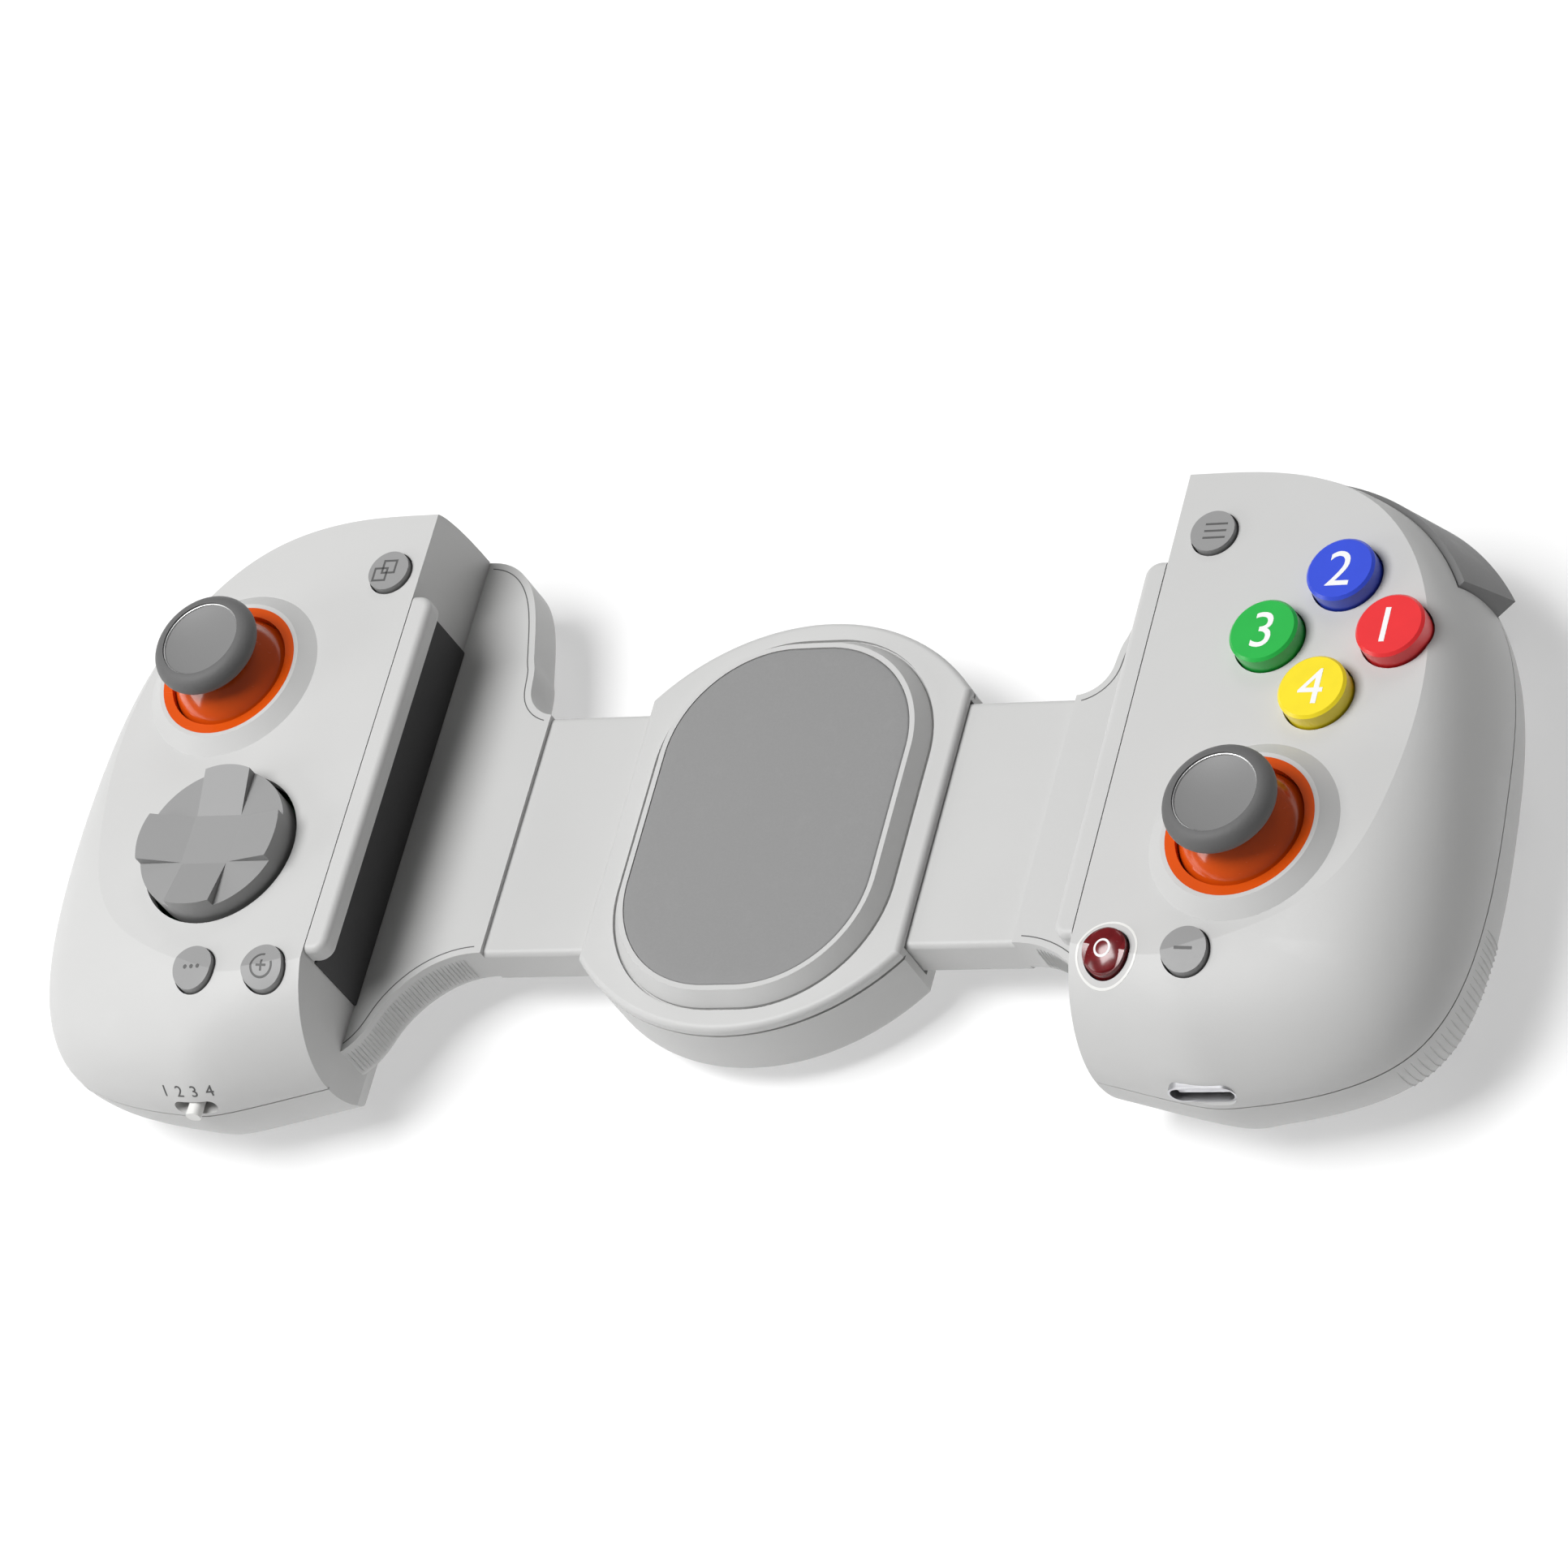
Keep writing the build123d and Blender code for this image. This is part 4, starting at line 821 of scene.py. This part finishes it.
def dome_mesh(node, share_of_width, rise, sink):
    """A closed round dome that lies on a key's sloping top and sinks into it at the rim."""
    centre, whole = key_top(node)
    radius = whole * share_of_width
    tree = surface_of(node)
    level = []
    for x, y in ((1, 0), (-1, 0), (0, 1), (0, -1)):
        start = centre + Vector((x * radius, y * radius, whole * 4))
        level.append(tree.ray_cast(start, Vector((0, 0, -1)))[0].z)
    slope_x = (level[0] - level[1]) / 2
    slope_y = (level[2] - level[3]) / 2
    parts = [(index / DOME_RINGS, 0) for index in range(1, DOME_RINGS + 1)]
    made = bmesh.new()
    rings = []
    for part, drop in parts + [(1.0, sink)]:
        ring = []
        for turn in [2 * pi * index / DOME_SIDES for index in range(DOME_SIDES)]:
            x, y = part * cos(turn), part * sin(turn)
            height = sum(level) / 4 + slope_x * x + slope_y * y + rise * (1 - part ** 2) - drop
            ring.append(made.verts.new((centre.x + radius * x, centre.y + radius * y, height)))
        rings.append(ring)
    skin(made, rings)
    return made


# Operators
class CONTROLLER_OT_finishes(Operator):
    """Gives every piece of the frame its finish"""
    bl_idname = "controller.finishes"
    bl_label = "Finishes"

    def execute(self, context):
        finishes.update(made_finishes())
        for node, obj in frame["nodes"].items():
            side, _, rest = node.partition("_")
            plain = rest if side in sides else node
            dressed(obj, node_finishes.get(node) or node_finishes[plain])
        return {"FINISHED"}


class CONTROLLER_OT_rest_pad(Operator):
    """Makes the soft pad in the middle, with its rounded rim and slight crown"""
    bl_idname = "controller.rest_pad"
    bl_label = "Middle pad"

    def execute(self, context):
        pad = context.scene.controller_pads
        made = pad_mesh("hub_pad", face_axis=2, crown=pad.crown, edge=pad.edge, direction=1)
        obj = smooth_object("rest_pad", made, "rest_pad")
        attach(obj, "hub")
        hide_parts("hub_pad")
        return {"FINISHED"}


class CONTROLLER_OT_clamp_pads(Operator):
    """Makes the dark pads on the two clamp walls, with half the middle pad's crown and edge"""
    bl_idname = "controller.clamp_pads"
    bl_label = "Clamp pads"

    def execute(self, context):
        pad = context.scene.controller_pads
        for side, direction in zip(sides, (1, -1)):
            made = pad_mesh(side + "_clamp_pad", face_axis=0, crown=pad.crown / 2,
                            edge=pad.edge / 2, direction=direction)
            obj = smooth_object(side + "_wall_pad", made, "wall_pad")
            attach(obj, side + "_grip")
            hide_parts(side + "_clamp_pad")
        return {"FINISHED"}


class CONTROLLER_OT_key_numerals(Operator):
    """Prints a plain numeral on each of the four coloured keys"""
    bl_idname = "controller.key_numerals"
    bl_label = "Key numerals"

    def execute(self, context):
        marks = context.scene.controller_marks
        for number in range(1, 5):
            node = "right_face_button_" + str(number)
            made = numeral_mesh(str(number), marks.numeral, marks.fine * NUMERAL_COARSENESS)
            obj = laid_mark("numeral_" + str(number), made, node, key_top(node)[0], "mark")
        return {"FINISHED"}


class CONTROLLER_OT_key_icons(Operator):
    """Prints plain icons on five of the small keys"""
    bl_idname = "controller.key_icons"
    bl_label = "Key icons"

    def execute(self, context):
        marks = context.scene.controller_marks
        icons = {
            "left_small_button_top": two_squares,
            "left_small_button_low": plus_in_ring,
            "left_small_button_outer": three_dots,
            "right_small_button_top": three_lines,
            "right_small_button_outer": one_bar,
        }
        for node, icon in icons.items():
            made = flat_mark(icon(marks.icon, marks.line), marks.fine)
            obj = laid_mark(node + "_icon", made, node, key_top(node)[0], "dark_mark")
        return {"FINISHED"}


class CONTROLLER_OT_switch_numerals(Operator):
    """Prints the numerals 1 to 4 above the mode switch"""
    bl_idname = "controller.switch_numerals"
    bl_label = "Switch numerals"

    def execute(self, context):
        marks = context.scene.controller_marks
        knob = middle("left_mode_knob")
        for index in range(4):
            made = numeral_mesh(str(index + 1), marks.small_numeral, marks.fine)
            offset = (index - 1.5) * marks.small_numeral * SWITCH_PITCH
            centre = knob + Vector((offset, *SWITCH_RISE))
            obj = laid_mark("switch_numeral_" + str(index + 1), made, "left_front_shell", centre,
                            "dark_mark", SWITCH_LOOK)
        return {"FINISHED"}


class CONTROLLER_OT_parting_lines(Operator):
    """Lays a dark strip of painted shadow, for the fine parting line's groove, beside each curved
    edge of the wings
    """
    bl_idname = "controller.parting_lines"
    bl_label = "Parting lines"

    def execute(self, context):
        marks = context.scene.controller_marks
        fine = marks.fine * PARTING_COARSENESS
        for side in sides:
            node = side + "_back_shell"
            top = Vector((0, 0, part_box(node)[1].z))
            for name, edge in zip(("ear", "foot"), wing_edges(side)):
                made = flat_mark(ribbon(edge, marks.parting_inset, marks.parting), fine)
                # The strip's dark finish is painted shadow, laid where a groove's shade would fall
                obj = laid_mark(side + "_" + name + "_line", made, node, top, "painted_gap_shadow")
        return {"FINISHED"}


class CONTROLLER_OT_grip_ribs(Operator):
    """Raises the fine upright ribs on the back shells, along the wing's foot and the outer end"""
    bl_idname = "controller.grip_ribs"
    bl_label = "Grip ribs"

    def execute(self, context):
        for side in sides:
            obj = new_object(side + "_ribs", rib_mesh(side, context.scene.controller_ribs), "shell")
            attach(obj, side + "_grip")
        return {"FINISHED"}


class CONTROLLER_OT_stick_rims(Operator):
    """Makes the bright ring that runs round each stick's dished face"""
    bl_idname = "controller.stick_rims"
    bl_label = "Stick rims"

    def execute(self, context):
        thick = context.scene.controller_marks.rim
        for side in sides:
            low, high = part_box(side + "_stick_disc")
            centre = (low.x + high.x) / 2, (low.y + high.y) / 2, high.z
            thin_ring(side + "_stick_rim", centre, (high.x - low.x) / 2 - thick / 4, thick,
                      "polished", side + "_stick_top")
        return {"FINISHED"}


class CONTROLLER_OT_home_key(Operator):
    """Puts a marked clear dome on the home key and the light ring in the shell round it"""
    bl_idname = "controller.home_key"
    bl_label = "Home key"

    def execute(self, context):
        marks = context.scene.controller_marks
        node = "right_small_button_low"
        centre = key_top(node)[0]
        made = dome_mesh(node, share_of_width=0.96, rise=marks.dome, sink=marks.dome)
        dome = smooth_object("home_dome", made, "home")
        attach(dome, node)
        print_on_dome = flat_mark(plain_ring(marks.icon, marks.line), marks.fine)
        tree = tree_of(dome.data)
        icon = laid_mark("home_icon", print_on_dome, node, centre, "mark", tree=tree)
        outline = flat_mark(ring_outlines(marks.home_ring / 2, marks.rim, steps=72), marks.fine)
        ring = laid_mark("home_ring", outline, "right_front_shell", centre, "white_part")
        return {"FINISHED"}


class CONTROLLER_OT_stage(Operator):
    """Makes the pale floor, the soft lights and the camera"""
    bl_idname = "controller.stage"
    bl_label = "Stage"

    def execute(self, context):
        stage = context.scene.controller_stage
        self.floor(context, stage)
        context.scene.view_settings.view_transform = "Standard"
        self.light(context, "key_light", *KEY_LIGHT, stage.key_power)
        self.light(context, "fill_light", *FILL_LIGHT, stage.fill_power)
        self.light(context, "back_light", *BACK_LIGHT, stage.back_power)
        world = bpy.data.worlds.new("soft_sky")
        world.use_nodes = True
        sky = world.node_tree.nodes["Background"]
        sky.inputs["Color"].default_value = (1, 1, 1, 1)
        sky.inputs["Strength"].default_value = stage.world
        context.scene.world = world
        self.camera(context)
        return {"FINISHED"}

    def floor(self, context, stage):
        half = stage.floor_size / 2
        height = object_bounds()[0][2]
        mesh = bpy.data.meshes.new("floor")
        corners = [(-half, -half, height), (half, -half, height), (half, half, height),
                   (-half, half, height)]
        mesh.from_pydata(corners, [], [(0, 1, 2, 3)])
        floor = bpy.data.objects.new("floor", mesh)
        context.scene.collection.objects.link(floor)
        shader = Shader("pale_floor")
        grain = shader.noise(0.02, detail=3)
        pale, paler = shade((0.57, 0.57, 0.57)), shade((0.59, 0.59, 0.59))
        shader.set(Base_Color=shader.mix(pale, paler, grain), Roughness=0.9)
        shader.set(Emission_Color=(1, 1, 1, 1), Emission_Strength=stage.floor_glow)
        floor.data.materials.append(shader.material)
        floor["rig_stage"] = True

    def light(self, context, name, place, size, power):
        """A square light that faces the middle of the object."""
        lamp = bpy.data.lights.new(name, "AREA")
        lamp.size = size
        lamp.energy = power
        obj = bpy.data.objects.new(name, lamp)
        obj.location = place
        obj.rotation_euler = (-Vector(place)).to_track_quat("-Z", "Y").to_euler()
        context.scene.collection.objects.link(obj)

    def camera(self, context):
        camera = bpy.data.objects.new("camera", bpy.data.cameras.new("camera"))
        camera.data.sensor_width = CAMERA_SENSOR
        camera.data.lens = CAMERA_LENS
        camera.data.clip_end = CAMERA_REACH
        camera.location = CAMERA_PLACE
        camera.rotation_euler = [radians(turn) for turn in CAMERA_TURN]
        context.scene.collection.objects.link(camera)
        context.scene.camera = camera


class CONTROLLER_PT_pieces(Panel):
    """Lists the settings, and the operators in their order"""
    bl_idname = "CONTROLLER_PT_pieces"
    bl_label = "Game controller"
    bl_space_type = "VIEW_3D"
    bl_region_type = "UI"
    bl_category = "Controller"

    def draw(self, context):
        for group in setting_groups:
            values = getattr(context.scene, group)
            for name in values.bl_rna.properties.keys():
                if name not in ("rna_type", "name"):
                    self.layout.prop(values, name)
        for maker in makers:
            self.layout.operator(maker.bl_idname)


setting_groups = {
    "controller_finish": FinishSettings,
    "controller_marks": MarkSettings,
    "controller_pads": PadSettings,
    "controller_ribs": RibSettings,
    "controller_stage": StageSettings,
}

makers = [
    CONTROLLER_OT_finishes, CONTROLLER_OT_rest_pad, CONTROLLER_OT_clamp_pads,
    CONTROLLER_OT_key_numerals, CONTROLLER_OT_key_icons, CONTROLLER_OT_switch_numerals,
    CONTROLLER_OT_parting_lines, CONTROLLER_OT_grip_ribs, CONTROLLER_OT_stick_rims,
    CONTROLLER_OT_home_key, CONTROLLER_OT_stage,
]


def register():
    for group in list(setting_groups.values()) + makers + [CONTROLLER_PT_pieces]:
        bpy.utils.register_class(group)
    for name, group in setting_groups.items():
        setattr(bpy.types.Scene, name, PointerProperty(type=group))


def unregister():
    for name in setting_groups:
        delattr(bpy.types.Scene, name)
    for group in [CONTROLLER_PT_pieces] + makers[::-1] + list(setting_groups.values()):
        bpy.utils.unregister_class(group)


def main():
    register()
    bpy.ops.controller.finishes()
    bpy.ops.controller.rest_pad()
    bpy.ops.controller.clamp_pads()
    bpy.ops.controller.key_numerals()
    bpy.ops.controller.key_icons()
    bpy.ops.controller.switch_numerals()
    bpy.ops.controller.parting_lines()
    bpy.ops.controller.grip_ribs()
    bpy.ops.controller.stick_rims()
    bpy.ops.controller.home_key()
    bpy.ops.controller.stage()


if __name__ == "__main__":
    main()
